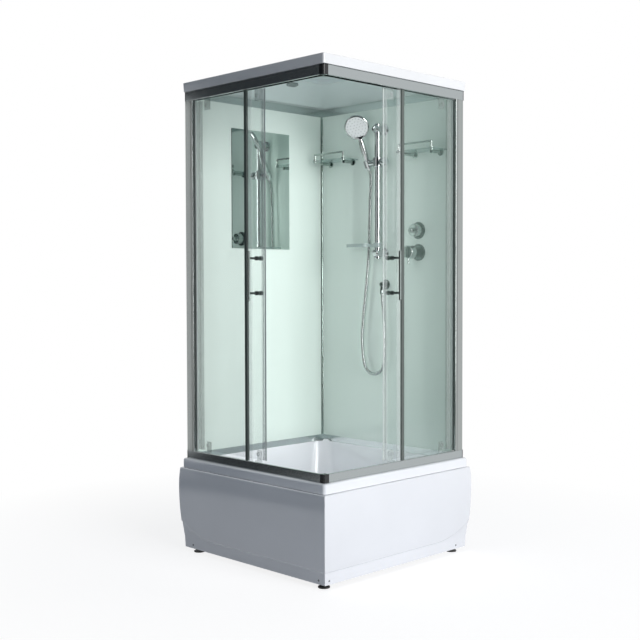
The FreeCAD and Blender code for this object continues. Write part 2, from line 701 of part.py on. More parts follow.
for face, place, arm in screws:
    frame_parts.append(block(place - s.tab_wide / 2, place + s.tab_wide / 2, -s.toe_inner,
                             -tab_back, s.bracket_low, s.beam_top, face))
    arm_end = s.beam_front if face == "front" else s.beam_place + s.beam_wide / 2
    frame_parts.append(block(arm - s.beam_wide * ARM_share, arm + s.beam_wide * ARM_share, -tab_back,
                             -arm_end, s.beam_base, s.beam_base + s.tab_thick, face))
    screw_tools.append(rod((place, s.overrun - s.toe_inner, s.screw_height), "-Y",
                           s.screw_shank, s.overrun * 3, face))
feet_places = [(x, y) for x in (-s.foot_place, s.foot_place) for y in (-s.foot_reach, s.foot_reach)]
feet_places.append((zero, -s.cross_front))
stud_holes = [rod((x, y, s.beam_base - s.overrun), "+Z", s.stud_radius + s.stud_clear,
                  s.stud_top - s.beam_base + s.overrun + s.stud_clear) for x, y in feet_places]
node("tray_frame", cut(fuse(*frame_parts), *stud_holes, *screw_tools))

feet = []
for x, y in feet_places:
    feet.append(turned(
        [(zero, zero), (s.pad_radius, zero), (s.pad_radius, s.pad_edge),
         (s.pad_neck, s.pad_tall), (s.stud_radius, s.pad_tall), (s.stud_radius, s.stud_top),
         (zero, s.stud_top)], (x, y, zero)))
    feet.append(cut(hexagon((x, y, s.beam_base - s.nut_tall), s.nut_radius, s.nut_tall),
                    rod((x, y, s.beam_base - s.nut_tall), "+Z", s.stud_radius, s.nut_tall)))
node("levelling_feet", group(*feet))

# Aprons: a bulging sheet with a stepped crease that sweeps up away from the near corner

screw_seat = s.toe_reach - s.crease_step - s.screw_sink
apron_outline = [
    (-s.toe_reach, s.apron_low), (-s.crease_reach, s.crease_height),
    (-s.bulge_reach, s.bulge_height, s.low_bow, 1),
    (-s.turn_reach, s.apron_turn_height, s.high_bow, 1),
    (s.turn_round - s.turn_reach, s.apron_top, s.turn_round, 1),
    (-s.flange_inner, s.apron_top), (-s.flange_inner, s.apron_top - s.apron_flange),
    (-s.inner_top, s.apron_top - s.apron_flange),
    (-s.inner_bulge, s.bulge_height, s.inner_high_bow, -1),
    (-s.toe_inner, s.crease_height, s.inner_low_bow, -1), (-s.toe_inner, s.apron_low),
]
outside = s.bulge_reach + s.overrun
recess_outline = [
    (-outside, s.apron_low - s.overrun), (s.crease_step - s.toe_reach, s.apron_low - s.overrun),
    (s.crease_step - s.toe_reach, s.apron_low),
    (s.crease_step - s.crease_reach, s.crease_height),
    (s.crease_step - s.bulge_reach, s.bulge_height, s.low_bow, 1), (-outside, s.bulge_height),
]
sweep_outline = [
    (-s.sweep_end, s.apron_low - s.overrun), (outside, s.apron_low - s.overrun),
    (outside, s.crease_height), (-s.sweep_start, s.crease_height),
    (-s.sweep_end, s.crease_height + s.sweep_rise, s.sweep_radius, 1),
]
screw_pieces = []
for face in FACES:
    shell = along_face(face, -s.tray_half, outside, apron_outline)
    lower = common(along_face(face, -s.sweep_end, outside, recess_outline),
                   across(face, s.ledge_inner, outside, sweep_outline))
    tools = [lower, mitre(face, s.toe_inner - s.overrun, s.apron_low - s.overrun,
                          s.rim_lip_low)]
    for on, place, arm in screws:
        if on == face:
            tools.append(rod((place, s.overrun - s.toe_inner, s.screw_height), "-Y",
                             s.screw_shank, s.overrun * 3, face))
            tools.append(rod((place, -screw_seat, s.screw_height), "-Y", s.screw_head,
                             s.overrun, face))
            screw_pieces.append(turned_on(
                face,
                [(zero, -s.screw_depth), (s.screw_shank, -s.screw_depth), (s.screw_shank, zero),
                 (s.screw_head, zero), (s.screw_head * CAP_share, s.screw_head_thick),
                 (zero, s.screw_head_thick)],
                (place, -screw_seat, s.screw_height), "-Y"))
    node(f"{face}_apron", cut(shell, *tools))
node("apron_screws", group(*screw_pieces))

# Rails: open extruded sections with a glazing slot and a track for the sliding doors


def rail_outlines(points, base):
    """A rail's section across the face, from (depth behind the outer face, height) points."""
    return [(inward(point[0]), base + point[1]) + tuple(point[2:]) for point in points]


r = s.rail_round
low_rail_points = [
    (zero, zero), (s.rail_depth, zero), (s.rail_depth, s.inner_lip),
    (s.rail_depth - s.rail_skin, s.inner_lip), (s.rail_depth - s.rail_skin, s.rail_floor),
    (s.fin_far, s.rail_floor), (s.fin_far, s.low_fin), (s.fin_near, s.low_fin),
    (s.fin_near, s.rail_floor), (s.slot_far + s.rail_skin, s.rail_floor),
    (s.slot_far + s.rail_skin, s.low_web), (s.slot_far, s.low_web),
    (s.slot_far, s.low_slot_floor), (s.slot_near, s.low_slot_floor),
    (s.slot_near, s.low_rail_tall), (r, s.low_rail_tall), (zero, s.low_rail_tall - r, r, -1),
]
low_rail_hollows = (
    rectangle(s.rail_skin, s.slot_near - s.rail_skin, s.rail_floor, s.low_rail_tall - s.rail_skin),
    rectangle(s.slot_near, s.slot_far, s.rail_floor, s.low_slot_floor - s.rail_skin),
)
high_rail_points = [
    (zero, r), (r, zero, r, -1), (s.slot_near, zero), (s.slot_near, s.high_slot_roof),
    (s.slot_far, s.high_slot_roof), (s.slot_far, s.high_lip), (s.fin_far, s.high_lip),
    (s.fin_far, s.high_fin), (s.fin_near, s.high_fin), (s.fin_near, s.high_lip + s.rail_skin),
    (s.slot_far + s.rail_skin, s.high_lip + s.rail_skin),
    (s.slot_far + s.rail_skin, s.high_rail_tall - s.rail_floor),
    (s.rail_depth - s.rail_skin, s.high_rail_tall - s.rail_floor),
    (s.rail_depth - s.rail_skin, s.strip_skin), (s.rail_depth, s.strip_skin),
    (s.rail_depth, s.high_rail_tall), (zero, s.high_rail_tall),
]
high_rail_hollows = (
    rectangle(s.rail_skin, s.slot_near - s.rail_skin, s.rail_skin,
              s.high_rail_tall - s.rail_skin),
    rectangle(s.slot_near, s.slot_far, s.high_slot_roof + s.rail_skin,
              s.high_rail_tall - s.rail_skin),
)
rails = (("bottom_rail", s.low_rail, s.low_rail_tall, low_rail_points, low_rail_hollows),
         ("top_rail", s.high_rail, s.high_rail_tall, high_rail_points, high_rail_hollows))
caps = []
joints = []
for name, base, tall, points, hollows in rails:
    top = base + tall
    for face in FACES:
        bar = along_face(face, -s.rail_far, s.rail_near, rail_outlines(points, base),
                         *[rail_outlines(hollow, base) for hollow in hollows])
        node(f"{face}_{name}", cut(bar, mitre(face, s.frame_half - s.rail_depth - s.overrun,
                                              base - s.overrun, top + s.overrun)))
        caps.append(block(-s.cap_far, -s.rail_far, -s.frame_half, inward(s.cap_depth), base, top,
                          face))
    joint = upright("front", base, top, [
        (s.rail_near, -s.rail_near), (s.rail_near, -s.frame_half),
        (s.frame_half - s.corner_round, -s.frame_half),
        (s.frame_half, s.corner_round - s.frame_half, s.corner_round, -1),
        (s.frame_half, -s.rail_near)])
    floor = s.rail_floor if name == "bottom_rail" else s.rail_skin
    tongues = [block(s.rail_near - s.tongue_long, s.rail_near, inward(s.rail_skin + s.tongue_clear),
                     inward(s.slot_near - s.rail_skin - s.tongue_clear),
                     base + floor + s.tongue_clear, top - s.rail_skin - s.tongue_clear, face)
               for face in FACES]
    joints.append(fuse(joint, *tongues))
node("rail_end_caps", group(*caps))
node("rail_corner_joints", group(*joints))

# Wall posts: a hollow upright with a slot for the fixed glass and a channel for the wall


def post_outlines(far, wall):
    near = far - s.post_wide
    slot = near + s.post_slot
    end = s.post_depth + s.post_leg
    seat = end - s.wall_slot_deep
    skin = s.post_skin
    points = [
        (-far, r), (r - far, zero, r, -1), (-near - s.groove_place - s.groove_wide, zero),
        (-near - s.groove_place - s.groove_wide, s.groove_deep),
        (-near - s.groove_place, s.groove_deep), (-near - s.groove_place, zero),
        (-near - r, zero), (-near, r, r, -1), (-near, s.slot_near), (-slot, s.slot_near),
        (-slot, s.slot_far), (-near, s.slot_far), (-near, s.post_depth),
        (s.post_leg_skin - wall, s.post_depth), (s.post_leg_skin - wall, end), (-wall, end),
        (-wall, seat), (-wall - s.wall_thick, seat), (-wall - s.wall_thick, end),
        (-wall - s.wall_thick - s.post_leg_skin, end),
        (-wall - s.wall_thick - s.post_leg_skin, s.post_depth), (-far, s.post_depth),
    ]
    hollow = rectangle(skin - far, -slot - skin, s.rail_round, s.post_depth - skin)
    return [[(point[0], inward(point[1])) + tuple(point[2:]) for point in outline]
            for outline in (points, hollow)]


posts = []
for face, far, wall in (("front", s.front_post_far, s.left_wall),
                        ("side", s.side_post_far, s.back_wall)):
    posts.append(upright(face, s.post_low, s.high_rail, *post_outlines(far, wall)))
node("wall_posts", group(*posts))

# Fixed glass with its dark edge channel, its pale lip and the glazing gaskets

front_of_glass, back_of_glass = inward(s.fixed_place), inward(s.fixed_place + s.glass_thick)
channels, lips, gaskets = [], [], []
for face in FACES:
    post_far = s.front_post_far if face == "front" else s.side_post_far
    post_near = s.post_wide - post_far
    glass_far = post_near - s.glass_bite
    node(f"{face}_fixed_glass", block(glass_far, -s.fixed_near, front_of_glass, back_of_glass,
                                      s.fixed_low, s.fixed_high, face))
    edge_front = s.fixed_place - s.edge_skin
    edge_back = s.fixed_place + s.glass_thick + s.edge_skin
    lip_front = s.fixed_place + (s.glass_thick - s.lip_thick) / 2
    lip_back = lip_front + s.lip_thick
    lip_seat = s.edge_near + s.rail_floor
    plan = [
        (-s.edge_far, edge_front), (-s.edge_near, edge_front), (-s.edge_near, lip_front),
        (-lip_seat, lip_front), (-lip_seat, lip_back), (-s.edge_near, lip_back),
        (-s.edge_near, edge_back), (-s.edge_far, edge_back),
        (-s.edge_far, s.fixed_place + s.glass_thick),
        (-s.fixed_near, s.fixed_place + s.glass_thick), (-s.fixed_near, s.fixed_place),
        (-s.edge_far, s.fixed_place),
    ]
    channels.append(upright(face, s.post_low, s.high_rail, [(x, inward(u)) for x, u in plan]))
    lips.append(fuse(
        block(-lip_seat, -s.lip_near, inward(lip_front), inward(lip_back), s.post_low,
              s.high_rail, face),
        rod((-s.lip_near, inward(s.fixed_place + s.glass_thick / 2), s.post_low), "+Z",
            s.lip_bulb, s.high_rail - s.post_low, face)))
    for front, back in ((s.slot_near, s.fixed_place), (s.fixed_place + s.glass_thick, s.slot_far)):
        near = -s.edge_far
        gaskets.append(block(post_near, near, inward(front), inward(back),
                             s.low_rail + s.low_slot_floor, s.post_low, face))
        gaskets.append(block(post_near, near, inward(front), inward(back), s.high_rail,
                             s.fixed_high, face))
        gaskets.append(block(glass_far, post_near, inward(front), inward(back), s.post_low,
                             s.high_rail, face))
node("glass_edge_channels", group(*channels))
node("glazing_seals", group(*lips, *gaskets))

# Walls in their edge strips, and the angle that closes the far corner

wall_end = s.frame_half - s.post_depth - s.post_leg + s.wall_slot_deep - s.wall_grip_gap
node("mirror_wall", block(-s.left_wall - s.wall_thick, -s.left_wall, -wall_end, s.back_wall,
                          s.wall_low, s.wall_high))
valve_holes = [rod((s.valve_x, s.back_wall - s.overrun, z), "+Y", s.wall_hole, s.overrun * 3)
               for z in (s.mixer_z, s.dial_z)]
valve_holes.append(rod((-s.elbow_x, s.back_wall - s.overrun, s.elbow_z), "+Y",
                       s.shield_hole, s.overrun * 3))
rail_inside = s.frame_half - s.rail_depth - s.wall_clear
rail_notches = [block(rail_inside, wall_end + s.overrun, s.back_wall - s.overrun,
                      s.back_wall + s.wall_thick + s.overrun, low, high)
                for low, high in ((s.wall_low - s.overrun, s.post_low),
                                  (s.high_rail - s.wall_clear, s.wall_high + s.overrun))]
node("fittings_wall", cut(
    block(-s.left_wall - s.wall_thick, wall_end, s.back_wall, s.back_wall + s.wall_thick,
          s.wall_low, s.wall_high), *valve_holes, *rail_notches))


def strip_outline(wall, floor, top, back_top, direction):
    """A wall strip's section: a floor, a tall inner leg and a short outer leg."""
    inner, outer = s.strip_skin - wall, -wall - s.wall_thick - s.strip_skin
    seat = floor + s.strip_floor * direction
    return [(outer, floor), (inner, floor), (inner, top), (-wall, top), (-wall, seat),
            (-wall - s.wall_thick, seat), (-wall - s.wall_thick, back_top), (outer, back_top)]


strips = []
for floor, direction, tall in ((s.ledge_height, 1, s.strip_tall),
                               (s.strip_high, -1, s.head_strip_tall)):
    back = s.strip_back_tall
    left = padded("XZ_Plane", s.strip_skin - s.back_wall, s.back_wall - s.strip_skin
                  + s.strip_start,
                  strip_outline(s.left_wall, floor, floor + tall * direction,
                                floor + back * direction, direction))
    rear_outline = [(-as_size(point[0]), point[1]) for point in strip_outline(
        s.back_wall, floor, floor + tall * direction, floor + back * direction, direction)]
    rear = padded("YZ_Plane", s.strip_skin - s.left_wall,
                  s.left_wall - s.strip_skin + s.strip_start, rear_outline)
    strips += [left, rear]
corner_x, corner_y = -s.left_wall - s.wall_thick, s.back_wall + s.wall_thick
strips.append(upright("front", s.ledge_height, s.strip_high, [
    (corner_x - s.angle_skin, s.back_wall - s.angle_leg), (corner_x, s.back_wall - s.angle_leg),
    (corner_x, corner_y), (corner_x + s.angle_reach - s.angle_skin, corner_y),
    (corner_x + s.angle_reach - s.angle_skin, corner_y + s.angle_skin),
    (corner_x - s.angle_skin, corner_y + s.angle_skin)]))
node("wall_strips", group(*strips))
node("mirror", block(-s.left_wall, s.mirror_thick - s.left_wall, -s.mirror_front, s.mirror_back,
                     s.mirror_low, s.mirror_high))

# Sliding doors: glass, magnetic strip, rear seal, handle, hangers, guides and wheels

slab_front, slab_back = s.door_place, s.door_place + s.glass_thick
grip_front, grip_back = slab_front - s.strip_grip, slab_back + s.strip_grip


def wheel(face, place):
    front = s.wheel_front
    return turned_on(
        face,
        [(s.axle_radius + s.axle_clear, zero), (s.wheel_radius, zero),
         (s.wheel_radius, s.groove_front - front - s.groove_bevel),
         (s.wheel_groove, s.groove_front - front), (s.wheel_groove, s.groove_back - front),
         (s.wheel_radius, s.groove_back - front + s.groove_bevel),
         (s.wheel_radius, s.wheel_back - front),
         (s.axle_radius + s.axle_clear, s.wheel_back - front)],
        (place, inward(front), s.wheel_z), "+Y")


def bolt(face, place, height):
    """A bolt through the door glass, with a round head on each side."""
    front = inward(slab_front - s.hanger_bolt_thick)
    length = s.hanger_end + s.hanger_bolt_thick - slab_front + s.hanger_bolt_thick
    return [
        rod((place, front, height), "+Y", s.hanger_bolt, length, face),
        rod((place, front, height), "+Y", s.hanger_bolt_head, s.hanger_bolt_thick, face),
        rod((place, inward(slab_back), height), "+Y", s.hanger_bolt_head,
            s.hanger_end + s.hanger_bolt_thick - slab_back, face),
    ]


for face in FACES:
    places = (s.hanger_near, -s.hanger_far)
    holes = [rod((place, inward(slab_front) - s.overrun, height), "+Y", s.grip_hole,
                 s.overrun * 3, face)
             for place, height in [(s.handle_place, s.grip_low), (s.handle_place, s.grip_high)]
             + [(place, height) for place in places
                for height in (s.hanger_bolt_z, s.guide_bolt_z)]]
    node(f"{face}_door_glass", cut(
        block(-s.door_rear, s.door_lead, inward(slab_front), inward(slab_back), s.door_low,
              s.door_high, face), *holes))
    magnet_plan = [
        (s.magnet_start, grip_front), (s.magnet_reach - grip_front, grip_front),
        (s.magnet_reach - grip_back, grip_back), (s.magnet_start, grip_back),
        (s.magnet_start, slab_back), (s.door_lead, slab_back), (s.door_lead, slab_front),
        (s.magnet_start, slab_front)]
    magnet_room = rectangle(s.door_lead + s.strip_grip, s.magnet_bore_far,
                            slab_front + s.strip_grip, slab_back - s.strip_grip)
    node(f"{face}_magnet_strip", upright(
        face, s.door_low, s.door_high, [(x, inward(u)) for x, u in magnet_plan],
        [(x, inward(u)) for x, u in magnet_room]))
    fin = s.door_rear + s.strip_grip
    seal_plan = [
        (-s.seal_end, grip_front), (-fin - s.seal_fin_thick, grip_front),
        (-fin - s.seal_fin_thick, grip_front - s.seal_fin), (-fin, grip_front - s.seal_fin),
        (-fin, grip_front), (-s.seal_start, grip_front), (-s.seal_start, slab_front),
        (-s.door_rear, slab_front), (-s.door_rear, slab_back), (-s.seal_start, slab_back),
        (-s.seal_start, grip_back), (-s.seal_end, grip_back)]
    seal_room = rectangle(-s.seal_bore_far, -s.door_rear - s.bar_radius,
                          slab_front + s.seal_wall, slab_back - s.seal_wall)
    node(f"{face}_rear_seal", upright(
        face, s.door_low, s.door_high, [(x, inward(u)) for x, u in seal_plan],
        [(x, inward(u)) for x, u in seal_room]))

    bar_length = s.handle_high - s.handle_low
    bar = turned_on(
        face,
        [(zero, zero), (s.bar_radius - s.bar_round, zero),
         (s.bar_radius, s.bar_round, s.bar_round, -1), (s.bar_radius, bar_length - s.bar_round),
         (s.bar_radius - s.bar_round, bar_length, s.bar_round, -1), (zero, bar_length)],
        (s.handle_place, inward(-s.bar_out), s.handle_low), "+Z")
    stems, knobs = [bar], []
    for height in (s.grip_low, s.grip_high):
        stem_end = slab_back + s.bar_radius
        stems.append(rod((s.handle_place, inward(-s.bar_out), height), "+Y", s.grip_radius,
                         stem_end + s.bar_out, face))
        stems.append(rod((s.handle_place, inward(slab_front - s.grip_collar_thick), height), "+Y",
                         s.grip_collar, s.grip_collar_thick, face))
        waist = s.grip_collar_thick + s.grip_waist_long
        long = s.grip_knob_end - slab_back
        knobs.append(turned_on(
            face,
            [(s.grip_radius, zero), (s.grip_collar, zero), (s.grip_collar, s.grip_collar_thick),
             (s.grip_waist, s.grip_collar_thick), (s.grip_waist, waist), (s.grip_knob, waist),
             (s.grip_knob, long - s.bar_round),
             (s.grip_knob - s.bar_round, long, s.bar_round, -1), (zero, long),
             (zero, s.bar_radius), (s.grip_radius, s.bar_radius)],
            (s.handle_place, inward(slab_back), height), "+Y"))
    node(f"{face}_handle", group(fuse(*stems), *knobs))

    hangers, guides = [], []
    for letter, place in zip("ab", places):
        hangers.append(fuse(
            block(place - s.hanger_half, place + s.hanger_half, inward(s.hanger_place),
                  inward(s.hanger_end), s.hanger_low, s.hanger_high, face),
            rod((place, inward(s.axle_front), s.wheel_z), "+Y", s.axle_radius,
                s.hanger_end - s.axle_front, face),
            rod((place, inward(s.axle_front), s.wheel_z), "+Y", s.axle_head,
                s.wheel_front - s.axle_front - s.tongue_clear, face),
            rod((place, inward(s.wheel_back + s.tongue_clear), s.wheel_z), "+Y", s.hub_radius,
                s.hanger_place - s.wheel_back, face),
            *bolt(face, place, s.hanger_bolt_z)))
        left, right = place - s.guide_half, place + s.guide_half
        guides.append(fuse(
            block(left, right, inward(s.hanger_place), inward(s.hanger_end), s.guide_foot_low,
                  s.guide_top, face),
            block(left, right, inward(s.guide_front), inward(s.hanger_end), s.guide_foot_low,
                  s.guide_foot_high, face),
            block(left, right, inward(s.guide_front), inward(s.guide_front_in), s.guide_low,
                  s.guide_foot_low, face),
            block(left, right, inward(s.guide_back_in), inward(s.guide_back), s.guide_low,
                  s.guide_foot_low, face),
            *bolt(face, place, s.guide_bolt_z)))
        node(f"{face}_wheel_{letter}", wheel(face, place))
    node(f"{face}_door_carriers", group(*hangers, *guides))

# Roof: a shallow dome on a flat band, notched over the mirror wall's head strip

inner_band = s.roof_band - s.roof_skin
roof_outer = fuse(
    lofted((square(s.roof_low_half, s.roof_corner), s.roof_low),
           (square(s.roof_half, s.roof_corner), s.roof_band)),
    lofted((square(s.dome_foot, s.dome_foot_corner), s.roof_band),
           (square(s.dome_half, s.dome_corner), s.dome_top)))
roof_inner = fuse(
    lofted((square(s.roof_low_half - s.roof_skin, s.roof_skin), s.roof_low),
           (square(s.roof_half - s.roof_skin, s.roof_skin), inner_band)),
    lofted((square(s.dome_foot - s.roof_skin, s.dome_foot_corner), inner_band),
           (square(s.dome_half - s.roof_skin, s.dome_corner), s.dome_top - s.roof_skin)))
flanges = [block(-s.roof_flange_in, s.roof_flange_out, -s.roof_flange_out, -s.roof_flange_in,
                 s.roof_low, s.roof_low + s.roof_flange, face) for face in FACES]
node("roof", cut(
    fuse(cut(roof_outer, roof_inner), *flanges),
    block(-s.notch_far, -s.notch_near, -s.ledge_notch, s.notch_near, s.roof_low - s.overrun,
          s.notch_high)))

# Ceiling liner: sloping sides up to a square recess with a round lamp, and a small vent

t = s.ceiling_thick
ceiling_solid = fuse(
    block(-s.ceiling_wall_left, s.ceiling_rail, -s.ceiling_rail, s.ceiling_wall_back,
          s.ceiling_low, s.ceiling_low + t),
    block(-s.notch_near, s.ceiling_rail, -s.ceiling_rail, t - s.ceiling_rail, s.roof_low,
          s.ceiling_low + t),
    block(s.ceiling_rail - t, s.ceiling_rail, -s.ceiling_rail, s.ceiling_rail, s.roof_low,
          s.ceiling_low + t),
    lofted((square(s.slope_foot + t, s.slope_foot_corner), s.ceiling_low + t),
           (square(s.slope_top + t, s.slope_corner), s.recess_floor + t)),
    padded("XY_Plane", s.recess_floor, s.recess_roof - s.recess_floor + t,
           square(s.recess_half + t, s.recess_corner)))
node("ceiling", cut(
    ceiling_solid,
    lofted((square(s.slope_foot, s.slope_foot_corner), s.ceiling_low),
           (square(s.slope_top, s.slope_corner), s.recess_floor)),
    padded("XY_Plane", s.recess_floor - s.overrun, s.recess_roof - s.recess_floor + s.overrun,
           square(s.recess_half, s.recess_corner))))
lamp_ring = turned(
    [(s.lamp_ring, s.lamp_low), (s.lamp_radius - r, s.lamp_low), (s.lamp_radius, s.lamp_low + r),
     (s.lamp_radius, s.recess_roof), (s.lamp_ring, s.recess_roof)], (zero, zero, zero))
node("ceiling_lamp", group(lamp_ring, turned(
    [(zero, s.lamp_low + s.lamp_drop), (s.lamp_ring, s.lamp_low + s.lamp_drop),
     (s.lamp_ring, s.recess_roof), (zero, s.recess_roof)], (zero, zero, zero))))

slope_run = s.slope_foot - s.slope_top
slope_rise = s.recess_floor - s.ceiling_low
slope_angle = math.degrees(math.atan2(slope_rise.value, slope_run.value))
vent_sketch = [rounded_rectangle(-s.vent_half_wide, s.vent_half_wide, -s.vent_half_long,
                                 s.vent_half_long, s.vent_half_wide * VENT_END_share)]
vent_plate = padded("XY_Plane", -s.vent_thick, s.vent_thick, *vent_sketch)
vent_cuts = []
for index in range(VENT_SLOTS):
    middle = s.vent_pitch * (index - (VENT_SLOTS - 1) / 2)
    vent_cuts.append(block(-s.vent_half_wide * SLOT_share, s.vent_half_wide * SLOT_share,
                           middle - s.vent_slot / 2, middle + s.vent_slot / 2,
                           -s.vent_thick - s.overrun, s.vent_slot_deep - s.vent_thick))
vent = cut(vent_plate, *vent_cuts)
vent_share = (s.slope_foot.value - s.vent_x.value) / slope_run.value
vent_z = s.ceiling_low + slope_rise * round(vent_share, 6)
bind_place(vent, (-s.vent_x, zero, vent_z), Rotation(Vector(0, 1, 0), -slope_angle))
node("ceiling_vent", vent)

# Riser rail with its brackets, soap dish and slider

riser = (-s.riser_x, s.riser_y)
riser_tube = turned(
    [(s.riser_bore, zero), (s.riser_radius, zero), (s.riser_radius, s.riser_high - s.riser_low),
     (s.riser_bore, s.riser_high - s.riser_low)], (*riser, s.riser_low))
node("riser_rail", group(riser_tube, *[
    turned([(zero, zero), (s.riser_radius, zero), (s.riser_radius, s.rail_floor),
            (s.riser_bore, s.rail_floor), (s.riser_bore, s.overrun), (zero, s.overrun)],
           (*riser, place), axis)
    for axis, place in (("+Z", s.riser_low - s.rail_floor), ("-Z", s.riser_high + s.rail_floor))]))
brackets = []
for height in (s.low_bracket, s.high_bracket):
    long = s.back_wall - s.bracket_nose
    barrel = turned(
        [(zero, zero), (s.rosette_radius, zero),
         (s.rosette_radius, s.rosette_thick - s.rail_round),
         (s.rosette_radius - s.rail_round, s.rosette_thick),
         (s.bracket_radius, s.rosette_thick), (s.bracket_radius, long - s.bracket_nose_long),
         (s.bracket_face, long), (zero, long)],
        (-s.riser_x, s.back_wall, height), "-Y")
    brackets.append(cut(barrel, rod((*riser, height - s.riser_radius * 2), "+Z",
                                    s.riser_radius, s.riser_radius * 4)))
node("riser_brackets", group(*brackets))

collar = turned(
    [(zero, zero), (s.slider_radius - s.slider_round, zero), (s.slider_radius, s.slider_round),
     (s.slider_radius, s.slider_half * 2 - s.slider_round),
     (s.slider_radius - s.slider_round, s.slider_half * 2), (zero, s.slider_half * 2)],
    (*riser, s.slider_height - s.slider_half))
x_mid = -s.riser_x
y_mid, z_mid = s.riser_y, s.slider_height
node("slider_body", cut(
    fuse(collar,
         rod((x_mid, y_mid, z_mid), "+X", s.boss_radius, s.boss_end),
         rod((x_mid, y_mid, z_mid), "-X", s.tilt_hub, s.tilt_hub_end)),
    rod((*riser, z_mid - s.slider_half * 2), "+Z", s.riser_radius + s.slider_clear,
        s.slider_half * 4),
    rod((x_mid + s.boss_end - s.knob_pin_long - s.tongue_clear, y_mid, z_mid), "+X",
        s.knob_pin + s.pin_clear, s.overrun * 3),
    rod((x_mid - s.tilt_hub_end + s.tilt_pin_depth + s.tongue_clear, y_mid, z_mid), "-X",
        s.tilt_pin + s.pin_clear, s.overrun * 4)))
knob_start = s.boss_end + s.tongue_clear
knob_core = turned(
    [(zero, -s.knob_pin_long), (s.knob_pin, -s.knob_pin_long), (s.knob_pin, zero),
     (s.knob_radius - r, zero), (s.knob_radius, r), (s.knob_radius, s.knob_long - s.slider_round),
     (s.knob_radius - s.slider_round, s.knob_long), (zero, s.knob_long)],
    (x_mid + knob_start, y_mid, z_mid), "+X")
ridge_cuts = []
for index in range(KNOB_RIDGES):
    angle = 2 * math.pi * index / KNOB_RIDGES
    ridge_cuts.append(rod((x_mid + knob_start + s.knob_grip,
                           y_mid + (s.knob_radius + r / 2) * round(math.cos(angle), 6),
                           z_mid + (s.knob_radius + r / 2) * round(math.sin(angle), 6)),
                          "+X", r, s.knob_long))
node("slider_knob", cut(knob_core, fuse(*ridge_cuts)))

# Hand shower in its tilted holder; its own axis starts at the holder's pin

holder_x = -s.riser_x - s.holder_offset
tilt = Rotation(Vector(1, 0, 0), HANDSET_TILT)
holder_place = (holder_x, y_mid, z_mid)


def on_handset(along, off=None):
    """A place on the hand shower's axis, and off to its spray side, as three sizes."""
    cosine = round(math.cos(math.radians(HANDSET_TILT)), 6)
    sine = round(math.sin(math.radians(HANDSET_TILT)), 6)
    along, off = as_size(along), as_size(off or zero)
    return (holder_x, y_mid - along * sine - off * cosine, z_mid + along * cosine - off * sine)


cone = turned(
    [(s.cone_bore_low, -s.cone_low), (s.cone_radius - r, -s.cone_low),
     (s.cone_radius, r - s.cone_low), (s.cone_radius, s.cone_high - r),
     (s.cone_radius - r, s.cone_high), (s.cone_bore_high, s.cone_high)],
    holder_place, rotation=tilt)
cone_slot = block(-s.hose_radius - s.strip_grip / 2, s.hose_radius + s.strip_grip / 2,
                  -s.cone_radius * 2, zero, -s.cone_low * 2, s.cone_high * 2)
bind_place(cone_slot, on_handset(-s.cone_low * 2, s.cone_radius * 2), tilt)
cone_slot.setExpression("Placement.Base.x", (holder_x - s.hose_radius - s.strip_grip / 2).formula)
collar_end = x_mid - s.tilt_hub_end - s.tongue_clear
node("shower_holder", fuse(
    cut(cone, cone_slot),
    rod((holder_x + s.cone_radius - s.overrun / 3, y_mid, z_mid), "+X", s.holder_collar,
        collar_end - holder_x - s.cone_radius + s.overrun / 3),
    rod((collar_end - r, y_mid, z_mid), "+X", s.tilt_pin, s.tilt_pin_depth + r)))

grip_outline = [
    (zero, -s.shell_foot), (s.shell_foot_radius, -s.shell_foot),
    (s.shell_seat_radius, s.shell_seat), (s.grip_start_radius, s.grip_start),
    (s.grip_middle_radius, s.grip_middle), (s.grip_neck_radius, s.grip_neck),
    (s.grip_neck_radius, s.grip_neck + s.bar_out), (zero, s.grip_neck + s.bar_out)]
grip = turned(grip_outline, holder_place, rotation=tilt)
back, front = s.head_thick - s.head_rim, s.head_rim
head_turn = Rotation(Vector(1, 0, 0), HANDSET_TILT + QUARTER + HEAD_TILT)
head_place = on_handset(s.head_centre, s.head_drop)
skin = s.strip_floor
head = turned(
    [(zero, -back), (s.head_radius * CROWN_share, s.strip_grip - back), (s.head_radius * SHOULDER_share, -back / 2),
     (s.head_radius, zero), (s.head_radius, front - r), (s.head_radius - r, front),
     (zero, front)], head_place, rotation=head_turn)
head_room = turned(
    [(zero, skin - back), (s.head_radius * CROWN_share - skin, skin + s.strip_grip - back),
     (s.face_radius - s.strip_skin, -r), (s.face_radius - s.strip_skin, front - s.face_thick),
     (s.face_radius, front - s.face_thick), (s.face_radius, front + s.overrun),
     (zero, front + s.overrun)],
    head_place, rotation=head_turn)
node("hand_shower", cut(fuse(grip, head), head_room))
face_plate = turned(
    [(zero, front - s.face_thick), (s.face_radius, front - s.face_thick),
     (s.face_radius, front - s.face_recess), (zero, front - s.face_recess)],
    head_place, rotation=head_turn)
nozzles = []
for count, ring in zip(NOZZLES, (s.nozzle_ring_one, s.nozzle_ring_two, s.nozzle_ring_three)):
    for index in range(count):
        turn = Rotation(Vector(0, 0, 1), CIRCLE * index / count)
        offset = head_turn.multVec(turn.multVec(Vector(1, 0, 0)))
        nozzle = doc.addObject("Part::Cylinder", "nozzle")
        bind(nozzle, "Radius", s.nozzle_radius)
        bind(nozzle, "Height", s.face_thick + s.nozzle_out)
        axis = head_turn.multVec(Vector(0, 0, 1))
        start = front - s.face_thick
        spot = [middle + ring * round(across_part, 6) + start * round(along_part, 6)
                for middle, across_part, along_part in zip(head_place, offset, axis)]
        bind_place(nozzle, spot, head_turn)
        nozzles.append(nozzle)
node("spray_face", fuse(face_plate, *nozzles))
